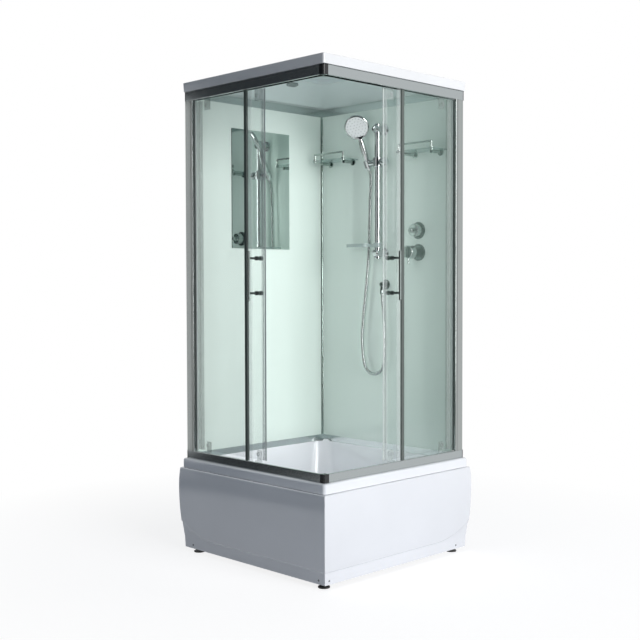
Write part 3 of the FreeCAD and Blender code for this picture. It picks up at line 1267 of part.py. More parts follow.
node("hose_nut", turned(
    [(s.hose_bore, -s.nut_low), (s.nut_low_radius, -s.nut_low),
     (s.nut_waist_radius, r - s.nut_low + r), (s.nut_waist_radius, -s.shell_foot),
     (s.hose_bore, -s.shell_foot)], holder_place, rotation=tilt))

# Wall elbow and the hose that hangs from it in a loop

elbow_place = (-s.elbow_x, s.back_wall, s.elbow_z)
elbow_long = s.back_wall - s.elbow_nose
elbow = turned(
    [(zero, zero), (s.elbow_face, zero), (s.elbow_face, s.elbow_face_thick - r),
     (s.elbow_face - r, s.elbow_face_thick), (s.elbow_radius, s.elbow_face_thick),
     (s.elbow_radius, elbow_long - s.elbow_radius / 2), (s.elbow_radius / 2, elbow_long),
     (zero, elbow_long)], elbow_place, "-Y")
outlet_z = s.elbow_z - s.elbow_drop
elbow_solid = cut(
    fuse(elbow, rod((-s.elbow_x, s.elbow_y, s.elbow_z), "-Z", s.elbow_radius - r, s.elbow_drop)),
    rod((-s.elbow_x, s.elbow_y, s.elbow_z), "-Z", s.hose_bore, s.elbow_drop * 2),
    rod((-s.elbow_x, s.elbow_y, s.elbow_z), "+Y", s.hose_bore, s.elbow_drop * 2))
node("wall_elbow", group(
    elbow_solid,
    cut(hexagon((-s.elbow_x, s.elbow_y, s.elbow_nut_low), s.elbow_nut_radius,
                outlet_z - s.elbow_nut_low),
        rod((-s.elbow_x, s.elbow_y, s.elbow_nut_low), "+Z", s.hose_bore, s.overrun * 3))))


def hose_wire(points):
    """Straight runs joined by tangent arcs, and the arcs' radii."""
    edges, radii = [], []
    last = points[0]
    for before, corner, after in zip(points, points[1:], points[2:]):
        back_run, on_run = before - corner, after - corner
        turn = math.pi - back_run.getAngle(on_run)
        shorter = min(back_run.Length, on_run.Length)
        radius = BEND_share * shorter / math.tan(turn / 2)
        reach = BEND_share * shorter
        back_run.normalize()
        on_run.normalize()
        first, second = corner + back_run * reach, corner + on_run * reach
        middle_way = (back_run + on_run).normalize()
        centre_gap = radius / math.cos(turn / 2)
        top = corner + middle_way * (centre_gap - radius)
        edges.append(Part.LineSegment(last, first).toShape())
        edges.append(Part.Arc(first, top, second).toShape())
        last = second
        radii.append(radius)
    edges.append(Part.LineSegment(last, points[-1]).toShape())
    return Part.Wire(edges), radii


def pipe_along(wire, start, direction, radius):
    ring = Part.Wire([Part.Circle(start, direction, radius).toShape()])
    return wire.makePipeShell([ring], True, False)


hose_start = Vector(*[part.value for part in on_handset(-s.nut_low)])
hose_next = Vector(*[part.value for part in on_handset(-s.nut_low - s.holder_offset * START_share)])
hose_end = Vector(-s.elbow_x.value, s.elbow_y.value, s.elbow_nut_low.value)
unit = s.hose_unit.value
route = [hose_start, hose_next]
route += [Vector(x * unit, s.back_wall.value - gap * unit, z * unit) for x, gap, z in HOSE_ROUTE]
route.append(hose_end)
wire, radii = hose_wire(route)
way = route[1] - route[0]
hose = doc.addObject("Part::Feature", "hose")
hose.Shape = pipe_along(wire, route[0], way, s.hose_radius.value).cut(
    pipe_along(wire, route[0], way, s.hose_bore.value))
node("shower_hose", hose)
print("hose length", round(wire.Length, 1), "radii", [round(radius, 1) for radius in radii])

# Soap dish: a clear tray on a ring round the riser rail

tray_outline = rounded_rectangle(-s.dish_far, -s.dish_near, s.dish_front, s.dish_back,
                                 s.dish_corner)
skin = s.dish_skin
inner_outline = rounded_rectangle(skin - s.dish_far, -s.dish_near - skin, s.dish_front + skin,
                                  s.dish_back - skin, s.dish_corner - skin)
dish_middle = (s.dish_front + s.dish_back) / 2
dish_holes = []
for index in range(DISH_HOLES):
    spot = (s.dish_far + s.dish_near) / -2 + s.dish_hole_pitch * (index - (DISH_HOLES - 1) / 2)
    dish_holes.append(rod((spot, dish_middle, s.dish_tray_low - s.overrun), "+Z", s.dish_hole,
                          s.overrun * 2))
node("soap_dish", cut(
    fuse(cut(padded("XY_Plane", s.dish_tray_low, s.dish_tray_high - s.dish_tray_low, tray_outline),
             padded("XY_Plane", s.dish_tray_low + skin, s.dish_tray_high, inner_outline)),
         turned([(zero, zero), (s.dish_ring, zero), (s.dish_ring, s.dish_high - s.dish_low),
                 (zero, s.dish_high - s.dish_low)], (*riser, s.dish_low)),
         block(-s.dish_near - skin, -s.riser_x - s.riser_radius, s.riser_y - s.dish_arm,
               s.riser_y + s.dish_arm, s.dish_tray_low, s.dish_tray_high)),
    rod((*riser, s.dish_low - s.overrun), "+Z", s.riser_radius + s.dish_clear, s.overrun * 5),
    *dish_holes))

# Shelves: a glass plate on two arms, with a guard bar over its front edge

shelf_plates, shelf_arms, shelf_guards = [], [], []
for middle in (-s.left_shelf, s.right_shelf):
    left, right = middle - s.shelf_half, middle + s.shelf_half
    plate = padded("XY_Plane", s.shelf_low, s.shelf_high - s.shelf_low, [
        (left + s.shelf_corner, s.shelf_front, s.shelf_corner, -1),
        (right - s.shelf_corner, s.shelf_front),
        (right, s.shelf_front + s.shelf_corner, s.shelf_corner, -1), (right, s.shelf_back),
        (left, s.shelf_back), (left, s.shelf_front + s.shelf_corner)])
    guard_ends = (middle - s.guard_place, middle + s.guard_place)
    shelf_plates.append(cut(plate, *[
        rod((place, s.guard_y, s.shelf_low - s.overrun), "+Z", s.guard_radius, s.overrun * 3)
        for place in guard_ends]))
    posts_tall = s.guard_z - s.shelf_low + s.guard_foot_thick
    guard_parts = [rod((guard_ends[0], s.guard_y, s.guard_z), "+X", s.guard_radius,
                       s.guard_place * 2)]
    for place in guard_ends:
        guard_parts += [
            rod((place, s.guard_y, s.shelf_low - s.guard_foot_thick), "+Z", s.guard_radius,
                posts_tall),
            ball((place, s.guard_y, s.guard_z), s.guard_radius),
            rod((place, s.guard_y, s.shelf_high), "+Z", s.guard_foot, s.guard_foot_thick),
            rod((place, s.guard_y, s.shelf_low), "-Z", s.guard_foot, s.guard_foot_thick),
        ]
    shelf_guards.append(fuse(*guard_parts))
    for place in (middle - s.arm_place, middle + s.arm_place):
        shelf_arms.append(fuse(
            block(place - s.arm_radius, place + s.arm_radius, s.arm_front, s.back_wall,
                  s.shelf_low - s.arm_radius * 2, s.shelf_low),
            rod((place, s.back_wall, s.shelf_low - s.arm_radius), "-Y", s.arm_disc,
                s.arm_disc_thick)))
node("shelf_glasses", group(*shelf_plates))
node("shelf_frames", group(*shelf_arms, *shelf_guards))

# Valves: brass bodies and pipes behind the wall, shields, a mixer lever and a diverter dial

behind = s.back_wall + s.wall_thick + s.valve_gap
pipe_y = s.back_wall + s.pipe_place
plumbing = []
for height in (s.mixer_z, s.dial_z):
    plumbing.append(rod((s.valve_x, s.back_wall + s.tongue_clear, height), "+Y",
                        s.shield_hole - r / 2, s.overrun * 2))
    plumbing.append(rod((s.valve_x, behind, height), "+Y", s.valve_radius,
                        s.valve_depth + s.valve_fit))
plumbing.append(rod((s.valve_x, pipe_y, s.mixer_z), "+Z", s.pipe_radius, s.dial_z - s.mixer_z))
plumbing.append(rod((-s.elbow_x, pipe_y, s.dial_z), "+X", s.pipe_radius, s.valve_x + s.elbow_x))
plumbing.append(rod((-s.elbow_x, pipe_y, s.elbow_z), "+Z", s.pipe_radius, s.dial_z - s.elbow_z))
plumbing.append(rod((-s.elbow_x, s.back_wall, s.elbow_z), "+Y", s.pipe_radius,
                    pipe_y - s.back_wall))
plumbing.append(ball((-s.elbow_x, pipe_y, s.dial_z), s.pipe_radius))
plumbing.append(ball((-s.elbow_x, pipe_y, s.elbow_z), s.pipe_radius))
plumbing.append(rod((s.valve_x - s.inlet_gap, pipe_y, s.mixer_z), "+X", s.pipe_radius,
                    s.inlet_gap * 2))
inlet_end = s.tray_half + s.waste_radius
for place in (s.valve_x - s.inlet_gap, s.valve_x + s.inlet_gap):
    plumbing.append(rod((place, pipe_y - s.pipe_radius, s.mixer_z), "+Y", s.inlet_nut,
                        s.pipe_radius + s.inlet_shoulder))
    plumbing.append(rod((place, pipe_y, s.mixer_z), "+Y", s.inlet_radius, inlet_end - pipe_y))
valve_bores = [rod((s.valve_x, s.back_wall - s.overrun, height), "+Y", s.valve_bore,
                   s.valve_depth + s.overrun - s.bar_radius) for height in (s.mixer_z, s.dial_z)]
for place in (s.valve_x - s.inlet_gap, s.valve_x + s.inlet_gap):
    valve_bores.append(rod((place, inlet_end - s.inlet_long, s.mixer_z), "+Y",
                           s.inlet_bore, s.inlet_long * 2))
node("valve_plumbing", cut(fuse(*plumbing), *valve_bores))

shield_room = s.valve_bore + s.valve_fit
shield_edge = [(s.shield_radius, zero), (s.shield_radius, s.shield_thick - s.shield_round),
               (s.shield_radius - s.shield_round, s.shield_thick)]
neck = s.bracket_radius
neck_long = s.joint_out - s.overrun
node("valve_shields", group(
    turned([(shield_room, zero), *shield_edge, (neck, s.shield_thick),
            (neck, neck_long - r), (neck - r, neck_long), (shield_room, neck_long)],
           (s.valve_x, s.back_wall, s.mixer_z), "-Y"),
    turned([(shield_room, zero), *shield_edge, (shield_room, s.shield_thick)],
           (s.valve_x, s.back_wall, s.dial_z), "-Y")))

mixer = (s.valve_x, s.back_wall, s.mixer_z)
shaft = s.valve_bore - s.pin_clear
shaft_depth = s.valve_depth - s.overrun
stem_front = s.joint_out - s.bar_radius
node("mixer_stem", cut(
    turned([(zero, -shaft_depth), (shaft, -shaft_depth), (shaft, stem_front),
            (s.mixer_stem, stem_front + r), (s.mixer_stem, s.lever_pin_y + s.bar_radius),
            (zero, s.lever_pin_y + s.bar_radius)], mixer, "-Y"),
    rod((s.valve_x - s.inlet_long, s.back_wall - s.lever_pin_y, s.mixer_z), "+X",
        s.lever_pin + s.pin_clear, s.inlet_long * 2)))
cup_room = s.mixer_stem + s.bar_radius
lever_cup = turned(
    [(cup_room, s.lever_back), (s.lever_radius - r, s.lever_back),
     (s.lever_radius, s.lever_back + r), (s.lever_radius, s.lever_front - s.lever_round),
     (s.lever_radius - s.lever_round, s.lever_front, s.lever_round, -1),
     (zero, s.lever_front), (zero, s.lever_pin_y + s.slot_near),
     (cup_room, s.lever_pin_y + s.slot_near)], mixer, "-Y")
node("mixer_handle", fuse(
    lever_cup,
    rod((s.valve_x - s.inlet_long, s.back_wall - s.lever_pin_y, s.mixer_z), "+X", s.lever_pin,
        s.inlet_long * 2),
    rod((s.valve_x, s.back_wall - s.lever_pin_y - s.bar_radius, s.mixer_z - s.lever_radius
         + s.lever_round), "-Z", s.lever_pin, s.lever_pin_end - s.lever_radius + s.lever_round),
    ball((s.valve_x, s.back_wall - s.lever_pin_y - s.bar_radius, s.mixer_z - s.lever_pin_end),
         s.lever_pin)))
dial = turned(
    [(zero, -shaft_depth), (shaft, -shaft_depth), (shaft, s.dial_back),
     (s.dial_radius - r, s.dial_back), (s.dial_radius, s.dial_back + r),
     (s.dial_radius, s.dial_front - s.dial_round),
     (s.dial_radius - s.dial_round, s.dial_front, s.dial_round, -1),
     (s.dial_tip, s.dial_front), (s.dial_tip, s.dial_tip_end - s.dial_round),
     (s.dial_tip - s.dial_round, s.dial_tip_end, s.dial_round, -1), (zero, s.dial_tip_end)],
    (s.valve_x, s.back_wall, s.dial_z), "-Y")
dial_cuts = []
for index in range(KNOB_RIDGES):
    angle = 2 * math.pi * index / KNOB_RIDGES
    dial_cuts.append(rod((s.valve_x + (s.dial_radius + r / 2) * round(math.cos(angle), 6),
                          s.back_wall - s.dial_back - s.dial_round,
                          s.dial_z + (s.dial_radius + r / 2) * round(math.sin(angle), 6)),
                         "-Y", r, s.dial_front))
node("diverter_knob", cut(dial, fuse(*dial_cuts)))

# Every piece is recomputed and checked, then written to its own file

doc.recompute()
for piece in doc.Objects:
    if "Invalid" in piece.State or "Error" in piece.State:
        raise RuntimeError(f"{piece.Label} ({piece.Name}): {piece.State}")
os.makedirs("parts", exist_ok=True)
for label, piece in nodes.items():
    shape = piece.Shape
    if shape.isNull() or not shape.isValid() or not shape.Solids:
        raise RuntimeError(f"{label}: no valid solid")
    shape.exportStep(f"parts/{label}.step")
    print(label, "solids", len(shape.Solids), "volume", round(shape.Volume))
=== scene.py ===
import math
import bmesh
import bpy
from mathutils import Euler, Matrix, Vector


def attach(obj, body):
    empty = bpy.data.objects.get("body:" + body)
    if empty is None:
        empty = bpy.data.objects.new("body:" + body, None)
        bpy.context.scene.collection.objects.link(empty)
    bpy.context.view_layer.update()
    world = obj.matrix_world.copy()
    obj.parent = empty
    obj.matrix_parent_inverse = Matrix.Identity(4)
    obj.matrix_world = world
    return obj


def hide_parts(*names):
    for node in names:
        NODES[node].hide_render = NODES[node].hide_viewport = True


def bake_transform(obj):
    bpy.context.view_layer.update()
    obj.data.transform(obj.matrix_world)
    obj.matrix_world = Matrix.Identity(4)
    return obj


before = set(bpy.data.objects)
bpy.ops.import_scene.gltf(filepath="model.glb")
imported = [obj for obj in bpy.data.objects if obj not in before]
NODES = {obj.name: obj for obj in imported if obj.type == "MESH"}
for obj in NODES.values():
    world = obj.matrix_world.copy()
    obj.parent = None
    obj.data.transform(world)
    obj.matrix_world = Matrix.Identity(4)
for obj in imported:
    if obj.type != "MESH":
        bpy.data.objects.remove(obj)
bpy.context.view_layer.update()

MM = 0.001
FACES = ("front", "side")


# Nodes: owner is the material or the world whose tree they stand in

def add(owner, kind, values=None, **settings):
    """A new node with its settings, and with values for its sockets."""
    made = owner.node_tree.nodes.new(kind)
    for key, value in settings.items():
        setattr(made, key, value)
    for key, value in (values or {}).items():
        made.inputs[key].default_value = value
    return made


def link(owner, start, end):
    owner.node_tree.links.new(start, end)


# Materials: each is a node tree with its own grain, variation and relief. Noise scales are per
# metre. The stage shows sharp and dull reflections differently, with the limit at a roughness of
# about 0.25, so no material's roughness varies across that limit

def new_material(name, **values):
    """A principled material. Even values are set on the shader's own sockets."""
    mat = bpy.data.materials.new(name)
    mat.use_nodes = True
    shader = mat.node_tree.nodes["Principled BSDF"]
    for key, value in values.items():
        shader.inputs[key.replace("_", " ")].default_value = value
    return mat, shader


def place(mat, scale=(1, 1, 1)):
    """The object's own coordinates, stretched by a scale."""
    coords = add(mat, "ShaderNodeTexCoord")
    mapping = add(mat, "ShaderNodeMapping", {"Scale": scale})
    link(mat, coords.outputs["Object"], mapping.inputs["Vector"])
    return mapping.outputs["Vector"]


def noise(mat, where, scale, detail=3.0):
    made = add(mat, "ShaderNodeTexNoise", {"Scale": scale, "Detail": detail})
    link(mat, where, made.inputs["Vector"])
    return made.outputs["Fac"]


def ramp(mat, source, stops):
    """A colour ramp over a grey source, between two stops of (place, colour)."""
    made = add(mat, "ShaderNodeValToRGB")
    for element, (where, colour) in zip(made.color_ramp.elements, stops):
        element.position = where
        element.color = (*colour, 1)
    link(mat, source, made.inputs["Fac"])
    return made.outputs["Color"]


def grey_range(mat, source, low, high):
    """The middle of a noise, spread from low to high."""
    made = add(mat, "ShaderNodeMapRange",
               {"From Min": 0.3, "From Max": 0.7, "To Min": low, "To Max": high})
    link(mat, source, made.inputs["Value"])
    return made.outputs["Result"]


def relief(mat, shader, source, strength, distance):
    bump = add(mat, "ShaderNodeBump", {"Strength": strength, "Distance": distance})
    link(mat, source, bump.inputs["Height"])
    link(mat, bump.outputs["Normal"], shader.inputs["Normal"])


def shade_of(colour, share):
    return tuple(min(1.0, part * share) for part in colour)


def edge_wear(mat):
    """White along outer edges, black elsewhere, from the surface's own curvature."""
    geometry = add(mat, "ShaderNodeNewGeometry")
    return ramp(mat, geometry.outputs["Pointiness"], [(0.48, (0, 0, 0)), (0.56, (1, 1, 1))])


def moulded(name, colour, rough=0.2, coat=0.3, coat_rough=0.06):
    """Moulded or vacuum-formed plastic: faint clouding, uneven gloss and orange peel."""
    mat, shader = new_material(name, Roughness=rough, Coat_Weight=coat, Coat_Roughness=coat_rough)
    where = place(mat)
    cloud = noise(mat, where, 3.5, 4.0)
    tone = ramp(mat, cloud, [(0.35, shade_of(colour, 0.97)), (0.65, colour)])
    link(mat, tone, shader.inputs["Base Color"])
    gloss = grey_range(mat, noise(mat, where, 22.0), rough * 0.88, rough * 1.12)
    link(mat, gloss, shader.inputs["Roughness"])
    relief(mat, shader, noise(mat, where, 260.0, 2.0), 0.12, 0.0003)
    return mat


DRAWN_UPRIGHT, DRAWN_ANY_WAY = (1500, 1500, 8), (900, 900, 900)


def drawn_metal(name, colour, rough, stretch=DRAWN_ANY_WAY, streak=0.03):
    """Extruded or turned metal: fine draw lines and slightly worn edges."""
    mat, shader = new_material(name, Metallic=1.0, Roughness=rough, Anisotropic=0.3)
    lines = noise(mat, place(mat, stretch), 1.0, 4.0)
    broad = noise(mat, place(mat), 6.0)
    summed = add(mat, "ShaderNodeMath", operation="ADD")
    link(mat, lines, summed.inputs[0])
    link(mat, broad, summed.inputs[1])
    halved = add(mat, "ShaderNodeMath", {1: 0.5}, operation="MULTIPLY")
    link(mat, summed.outputs[0], halved.inputs[0])
    tone = ramp(mat, halved.outputs[0],
                [(0.3, shade_of(colour, 1 - streak)), (0.7, shade_of(colour, 1 + streak))])
    worn = add(mat, "ShaderNodeMix", {"B": (*shade_of(colour, 1.35), 1)}, data_type="RGBA")
    link(mat, edge_wear(mat), worn.inputs["Factor"])
    link(mat, tone, worn.inputs["A"])
    link(mat, worn.outputs["Result"], shader.inputs["Base Color"])
    link(mat, grey_range(mat, lines, rough * 0.8, rough * 1.3), shader.inputs["Roughness"])
    relief(mat, shader, lines, 0.08, 0.0001)
    return mat


def plated(name, colour=(0.62, 0.64, 0.65), rough=0.07):
    """Chrome plate: near mirror, with faint water spots and polishing haze."""
    mat, shader = new_material(name, Metallic=1.0, Roughness=rough)
    where = place(mat)
    haze = noise(mat, where, 40.0)
    tone = ramp(mat, haze, [(0.35, shade_of(colour, 0.93)), (0.65, colour)])
    link(mat, tone, shader.inputs["Base Color"])
    spots = add(mat, "ShaderNodeTexVoronoi", {"Scale": 330.0})
    link(mat, where, spots.inputs["Vector"])
    dots = ramp(mat, spots.outputs["Distance"], [(0.08, (1, 1, 1)), (0.16, (0, 0, 0))])
    link(mat, grey_range(mat, dots, rough, rough * 2.2), shader.inputs["Roughness"])
    relief(mat, shader, noise(mat, where, 90.0), 0.05, 0.0001)
    return mat


def window(name, tint, clear, grazing, rough=0.03):
    """A thin clear pane: see-through face on, and denser at a grazing view."""
    mat, shader = new_material(name, Roughness=rough, Specular_IOR_Level=0.8)
    streaks = noise(mat, place(mat, (6, 6, 1.2)), 4.0)
    tone = ramp(mat, streaks, [(0.3, shade_of(tint, 0.94)), (0.7, tint)])
    link(mat, tone, shader.inputs["Base Color"])
    rim = add(mat, "ShaderNodeLayerWeight", {"Blend": 0.1})
    span = add(mat, "ShaderNodeMapRange", {"To Min": clear, "To Max": grazing})
    link(mat, rim.outputs["Facing"], span.inputs["Value"])
    link(mat, span.outputs["Result"], shader.inputs["Alpha"])
    smears = noise(mat, place(mat), 30.0)
    link(mat, grey_range(mat, smears, rough, rough * 2), shader.inputs["Roughness"])
    return mat


def painted_glass(name, colour):
    """Glass painted on its back: a clear glossy face over a pale green, faintly cloudy coat."""
    mat, shader = new_material(name, Roughness=0.12, Coat_Weight=0.8, Coat_Roughness=0.02)
    where = place(mat)
    cloud = noise(mat, place(mat, (1, 1, 0.5)), 2.2, 5.0)
    tone = ramp(mat, cloud, [(0.3, shade_of(colour, 0.965)), (0.7, colour)])
    flakes = add(mat, "ShaderNodeMix", data_type="RGBA", blend_type="SOFT_LIGHT")
    flakes.inputs["Factor"].default_value = 0.06
    link(mat, tone, flakes.inputs["A"])
    link(mat, noise(mat, where, 900.0, 2.0), flakes.inputs["B"])
    link(mat, flakes.outputs["Result"], shader.inputs["Base Color"])
    link(mat, grey_range(mat, noise(mat, where, 8.0), 0.10, 0.16), shader.inputs["Roughness"])
    return mat


def silvered_glass(name):
    """The mirror: a faintly green reflection with slight unevenness."""
    mat, shader = new_material(name, Metallic=1.0, Roughness=0.02)
    where = place(mat)
    tone = ramp(mat, noise(mat, where, 2.0), [(0.3, (0.80, 0.88, 0.85)), (0.7, (0.83, 0.91, 0.88))])
    link(mat, tone, shader.inputs["Base Color"])
    link(mat, grey_range(mat, noise(mat, where, 50.0), 0.015, 0.04), shader.inputs["Roughness"])
    return mat


M = {
    "tray": moulded("white_acrylic", (0.90, 0.915, 0.95), 0.16, 0.5),
    "apron": moulded("apron_acrylic", (0.845, 0.855, 0.89), 0.2, 0.3, 0.2),
    "roof": moulded("roof_shell", (0.80, 0.805, 0.815), 0.2, 0.25),
    "ceiling": moulded("ceiling_liner", (0.68, 0.76, 0.76), 0.34, 0.2),
    "rail": drawn_metal("rail_anodised", (0.30, 0.325, 0.33), 0.17),
    "post": drawn_metal("post_anodised", (0.275, 0.295, 0.29), 0.13, DRAWN_UPRIGHT),
    "lining": moulded("post_lining", (0.60, 0.65, 0.63), 0.2, 0.1),
    "channel": moulded("dark_channel", (0.09, 0.11, 0.10)),
    "vinyl": window("clear_vinyl", (0.80, 0.86, 0.84), 0.10, 0.6, 0.12),
    "magnet": moulded("magnet_bar", (0.54, 0.59, 0.57), 0.2, 0.2),
    "strip": drawn_metal("strip_anodised", (0.52, 0.56, 0.55), 0.18),
    "corner": drawn_metal("corner_bead", (0.20, 0.25, 0.23), 0.18),
    # Chrome plate in several copies: the handle, valve, shelf rail, hose and handset copies are the
    # same plate made darker. Their darker colour is painted dark reflection, near black on the
    # handles and valve plates
    "chrome": plated("chrome"),
    "handle": plated("handle_chrome_painted_dark", (0.13, 0.15, 0.145), 0.11),
    "valve": plated("valve_plate", (0.12, 0.14, 0.135), 0.1),
    "knob": plated("valve_knob", (0.50, 0.54, 0.53), 0.06),
    "shelf_rail": plated("shelf_chrome_painted_dark", (0.47, 0.52, 0.50), 0.1),
    "guide": window("guide_nylon", (0.66, 0.72, 0.70), 0.18, 0.55, 0.12),
    "hose": plated("hose_metal", (0.50, 0.535, 0.53), 0.11),
    "handset": plated("plated_moulding", (0.56, 0.59, 0.59), 0.11),
    "glass": window("clear_glass", (0.30, 0.44, 0.38), 0.02, 0.55),
    "shelf": window("shelf_glass", (0.36, 0.56, 0.52), 0.22, 0.8),
    "dish": window("clear_dish", (0.56, 0.66, 0.64), 0.45, 0.9, 0.08),
    "wall": painted_glass("back_painted_glass", (0.76, 0.865, 0.81)),
    "mirror": silvered_glass("silvered_glass"),
    "dark": moulded("dark_moulding", (0.012, 0.013, 0.014), 0.2, 0.0),
    "cap": moulded("dark_end_cap", (0.09, 0.095, 0.10), 0.4, 0.1),
    "foot": moulded("black_nylon", (0.03, 0.03, 0.03), 0.5, 0.0),
    "frame": moulded("painted_tube", (0.30, 0.31, 0.32), 0.45, 0.1),
    "trap": moulded("trap_moulding", (0.62, 0.62, 0.60), 0.4, 0.1),
    "wheel": moulded("acetal_wheel", (0.55, 0.56, 0.55), 0.2, 0.1),
    "lamp": moulded("frosted_lens", (0.40, 0.46, 0.44), 0.45, 0.0),
    "vent": moulded("vent_grille", (0.20, 0.245, 0.24), 0.32, 0.2),
    "spray": moulded("spray_plate", (0.74, 0.77, 0.77), 0.2, 0.2),
    "nozzle": moulded("spray_nozzle", (0.30, 0.33, 0.33), 0.45, 0.0),
    "brass": drawn_metal("machined_brass", (0.60, 0.44, 0.20), 0.18, streak=0.10),
    "screw": moulded("screw_cap", (0.20, 0.21, 0.22), 0.2, 0.1),
}


# Mesh helpers, all in millimetres

def mesh_object(name, verts, faces, mat, smooth=35):
    mesh = bpy.data.meshes.new(name)
    mesh.from_pydata([Vector(v) * MM for v in verts], [], faces)
    mesh.validate()
    mesh.update()
    made = bmesh.new()
    made.from_mesh(mesh)
    bmesh.ops.remove_doubles(made, verts=made.verts, dist=1e-6)
    bmesh.ops.recalc_face_normals(made, faces=made.faces)
    made.to_mesh(mesh)
    made.free()
    return shown(name, mesh, mat, smooth)


def shown(name, mesh, mat, smooth):
    """A mesh as an object of the scene, with its material."""
    mesh.materials.append(mat)
    obj = bpy.data.objects.new(name, mesh)
    bpy.context.scene.collection.objects.link(obj)
    shade(obj, smooth)
    return obj


def shade(obj, angle=35):
    """Smooth shading with sharp edges kept above an angle."""
    mesh = obj.data
    for polygon in mesh.polygons:
        polygon.use_smooth = True
    made = bmesh.new()
    made.from_mesh(mesh)
    for edge in made.edges:
        if len(edge.link_faces) == 2:
            edge.smooth = edge.calc_face_angle(0) < math.radians(angle)
    made.to_mesh(mesh)
    made.free()


def bevel(obj, width, segments, angle):
    made = obj.modifiers.new("soft_edges", "BEVEL")
    made.width = width * MM
    made.segments = segments
    made.limit_method = "ANGLE"
    made.angle_limit = math.radians(angle)
    made.harden_normals = False


def round_square(x0, x1, y0, y1, radius, z):
    """A level loop round a rectangle with round corners, always the same number of points."""
    points, steps = [], 10
    centres = ((x1 - radius, y0 + radius, -90), (x1 - radius, y1 - radius, 0),
               (x0 + radius, y1 - radius, 90), (x0 + radius, y0 + radius, 180))
    for cx, cy, start in centres:
        for step in range(steps + 1):
            angle = math.radians(start + 90 * step / steps)
            points.append((cx + radius * math.cos(angle), cy + radius * math.sin(angle), z))
    return points


def quarter(steps, first=0):
    """The cosine and sine at even steps through a quarter turn."""
    for step in range(first, steps + 1):
        angle = math.radians(90 * step / steps)
        yield math.cos(angle), math.sin(angle)


def skin_faces(rows, size, start=0, ring=False):
    """Quads between rows of points. In a ring the last row meets the first, or both are capped."""
    faces = []
    for row in range(rows if ring else rows - 1):
        low, high = start + row * size, start + (row + 1) % rows * size
        for index in range(size):
            following = (index + 1) % size
            faces.append((low + index, low + following, high + following, high + index))
    if not ring:
        faces.append(tuple(range(start, start + size)))
        faces.append(tuple(range(start + (rows - 1) * size, start + rows * size)))
    return faces


def stacked(name, loops, mat, ring=True, smooth=35):
    """A skin through loops with equal numbers of points."""
    verts = [point for loop in loops for point in loop]
    return mesh_object(name, verts, skin_faces(len(loops), len(loops[0]), ring=ring), mat, smooth)


def carve(obj, boxes):
    """Cuts boxes out of a closed mesh, and leaves no modifier behind."""
    for low, high in boxes:
        corners = [(x, y, z) for x in (low[0], high[0]) for y in (low[1], high[1])
                   for z in (low[2], high[2])]
        sides = [(0, 1, 3, 2), (4, 6, 7, 5), (0, 4, 5, 1), (2, 3, 7, 6), (0, 2, 6, 4), (1, 5, 7, 3)]
        cutter = mesh_object("cutter", corners, sides, obj.data.materials[0])
        cutting = obj.modifiers.new("cut", "BOOLEAN")
        cutting.operation = "DIFFERENCE"
        cutting.solver = "EXACT"
        cutting.object = cutter
        bpy.context.view_layer.update()
        evaluated = obj.evaluated_get(bpy.context.evaluated_depsgraph_get())
        result = bpy.data.meshes.new_from_object(evaluated)
        obj.modifiers.remove(cutting)
        obj.data = result
        bpy.data.objects.remove(cutter)
    shade(obj)


# Tray: one skin from the skirt over the rounded rim, down the basin and back underneath

TRAY_HALF, SKIRT_FOOT, LEDGE, SEAT_TOP = 450, 381.4, 412, 430
SKIRT_CORNER, RIM_INSET, RIM_CORNER, RIM_WALL = 14, 14, 12, 5
RIM_ROUND, LIP_ROUND, FLOOR_ROUND = 9, 7, 44
RIM_TOP = LEDGE + RIM_ROUND
FLOOR, UNDERSIDE = 120, 115
BASIN_LEFT, BASIN_RIGHT, BASIN_FRONT, BASIN_BACK = -424, 378, -378, 404
WALL_LEAN, WALL_DEPTH = 60, RIM_TOP - FLOOR
BASIN_CORNER, LIP_CORNER, CORNER_GROWTH = 75, 78, 35
DRAIN_X, DRAIN_Y = -23, 13
DRAIN_RIM, DRAIN_LIP, DRAIN_HOLE = 60, 46, 44
# Loops from the basin's floor to the waste hole and back under it, as share, radius and height
FLOOR_LOOPS = ((0.5, DRAIN_RIM, FLOOR - 0.6), (0.85, DRAIN_RIM, FLOOR - 1),
               (1, DRAIN_RIM, FLOOR - 1.2), (1, DRAIN_LIP, FLOOR - 1.4), (1, DRAIN_HOLE, FLOOR - 4),
               (1, DRAIN_HOLE, UNDERSIDE), (1, DRAIN_RIM, UNDERSIDE), (0.5, DRAIN_RIM, UNDERSIDE))
# Loops up the basin's outside and down the skirt's inside, as inset, height and corner radius
BASIN_OUTSIDE = ((90, UNDERSIDE, 70), (50, 135, 100), (-4, 396, BASIN_CORNER),
                 (-RIM_WALL, 406, BASIN_CORNER))
SKIRT_INSIDE = ((8, 407, 10), (6, 406, 10), (RIM_WALL, SKIRT_FOOT, RIM_CORNER))
# Room on the ledge for the back walls, their strips and the rails' ends, as two corners each
SEATS = (((-444, -387), (-400, 444)), ((-444, 400), (387, 444)), ((-444, -394), (-432, -380)),
         ((380, 411), (394, 444)))


def level(inset, z, corner):
    half = TRAY_HALF - inset
    return round_square(-half, half, -half, half, corner, z)


def basin(shrink, z, corner):
    return round_square(BASIN_LEFT + shrink, BASIN_RIGHT - shrink,
                        BASIN_FRONT + shrink, BASIN_BACK - shrink, corner, z)


def wall(z, tuck=0):
    """The basin's sloping wall at a height, tucked in where it rounds into the floor."""
    down = RIM_TOP - z
    return basin(WALL_LEAN * down / WALL_DEPTH + tuck, z,
                 BASIN_CORNER + CORNER_GROWTH * down / WALL_DEPTH - tuck * 0.8)


def drain_loop(ring, share, radius, z):
    """A loop between the basin's floor outline, share 0, and the round waste hole, share 1."""
    loop = []
    for away in ring:
        spot = away.normalized() * radius
        if share < 1:
            spot = away * (1 - share) + away.normalized() * radius * share
        loop.append((spot.x + DRAIN_X, spot.y + DRAIN_Y, z))
    return loop


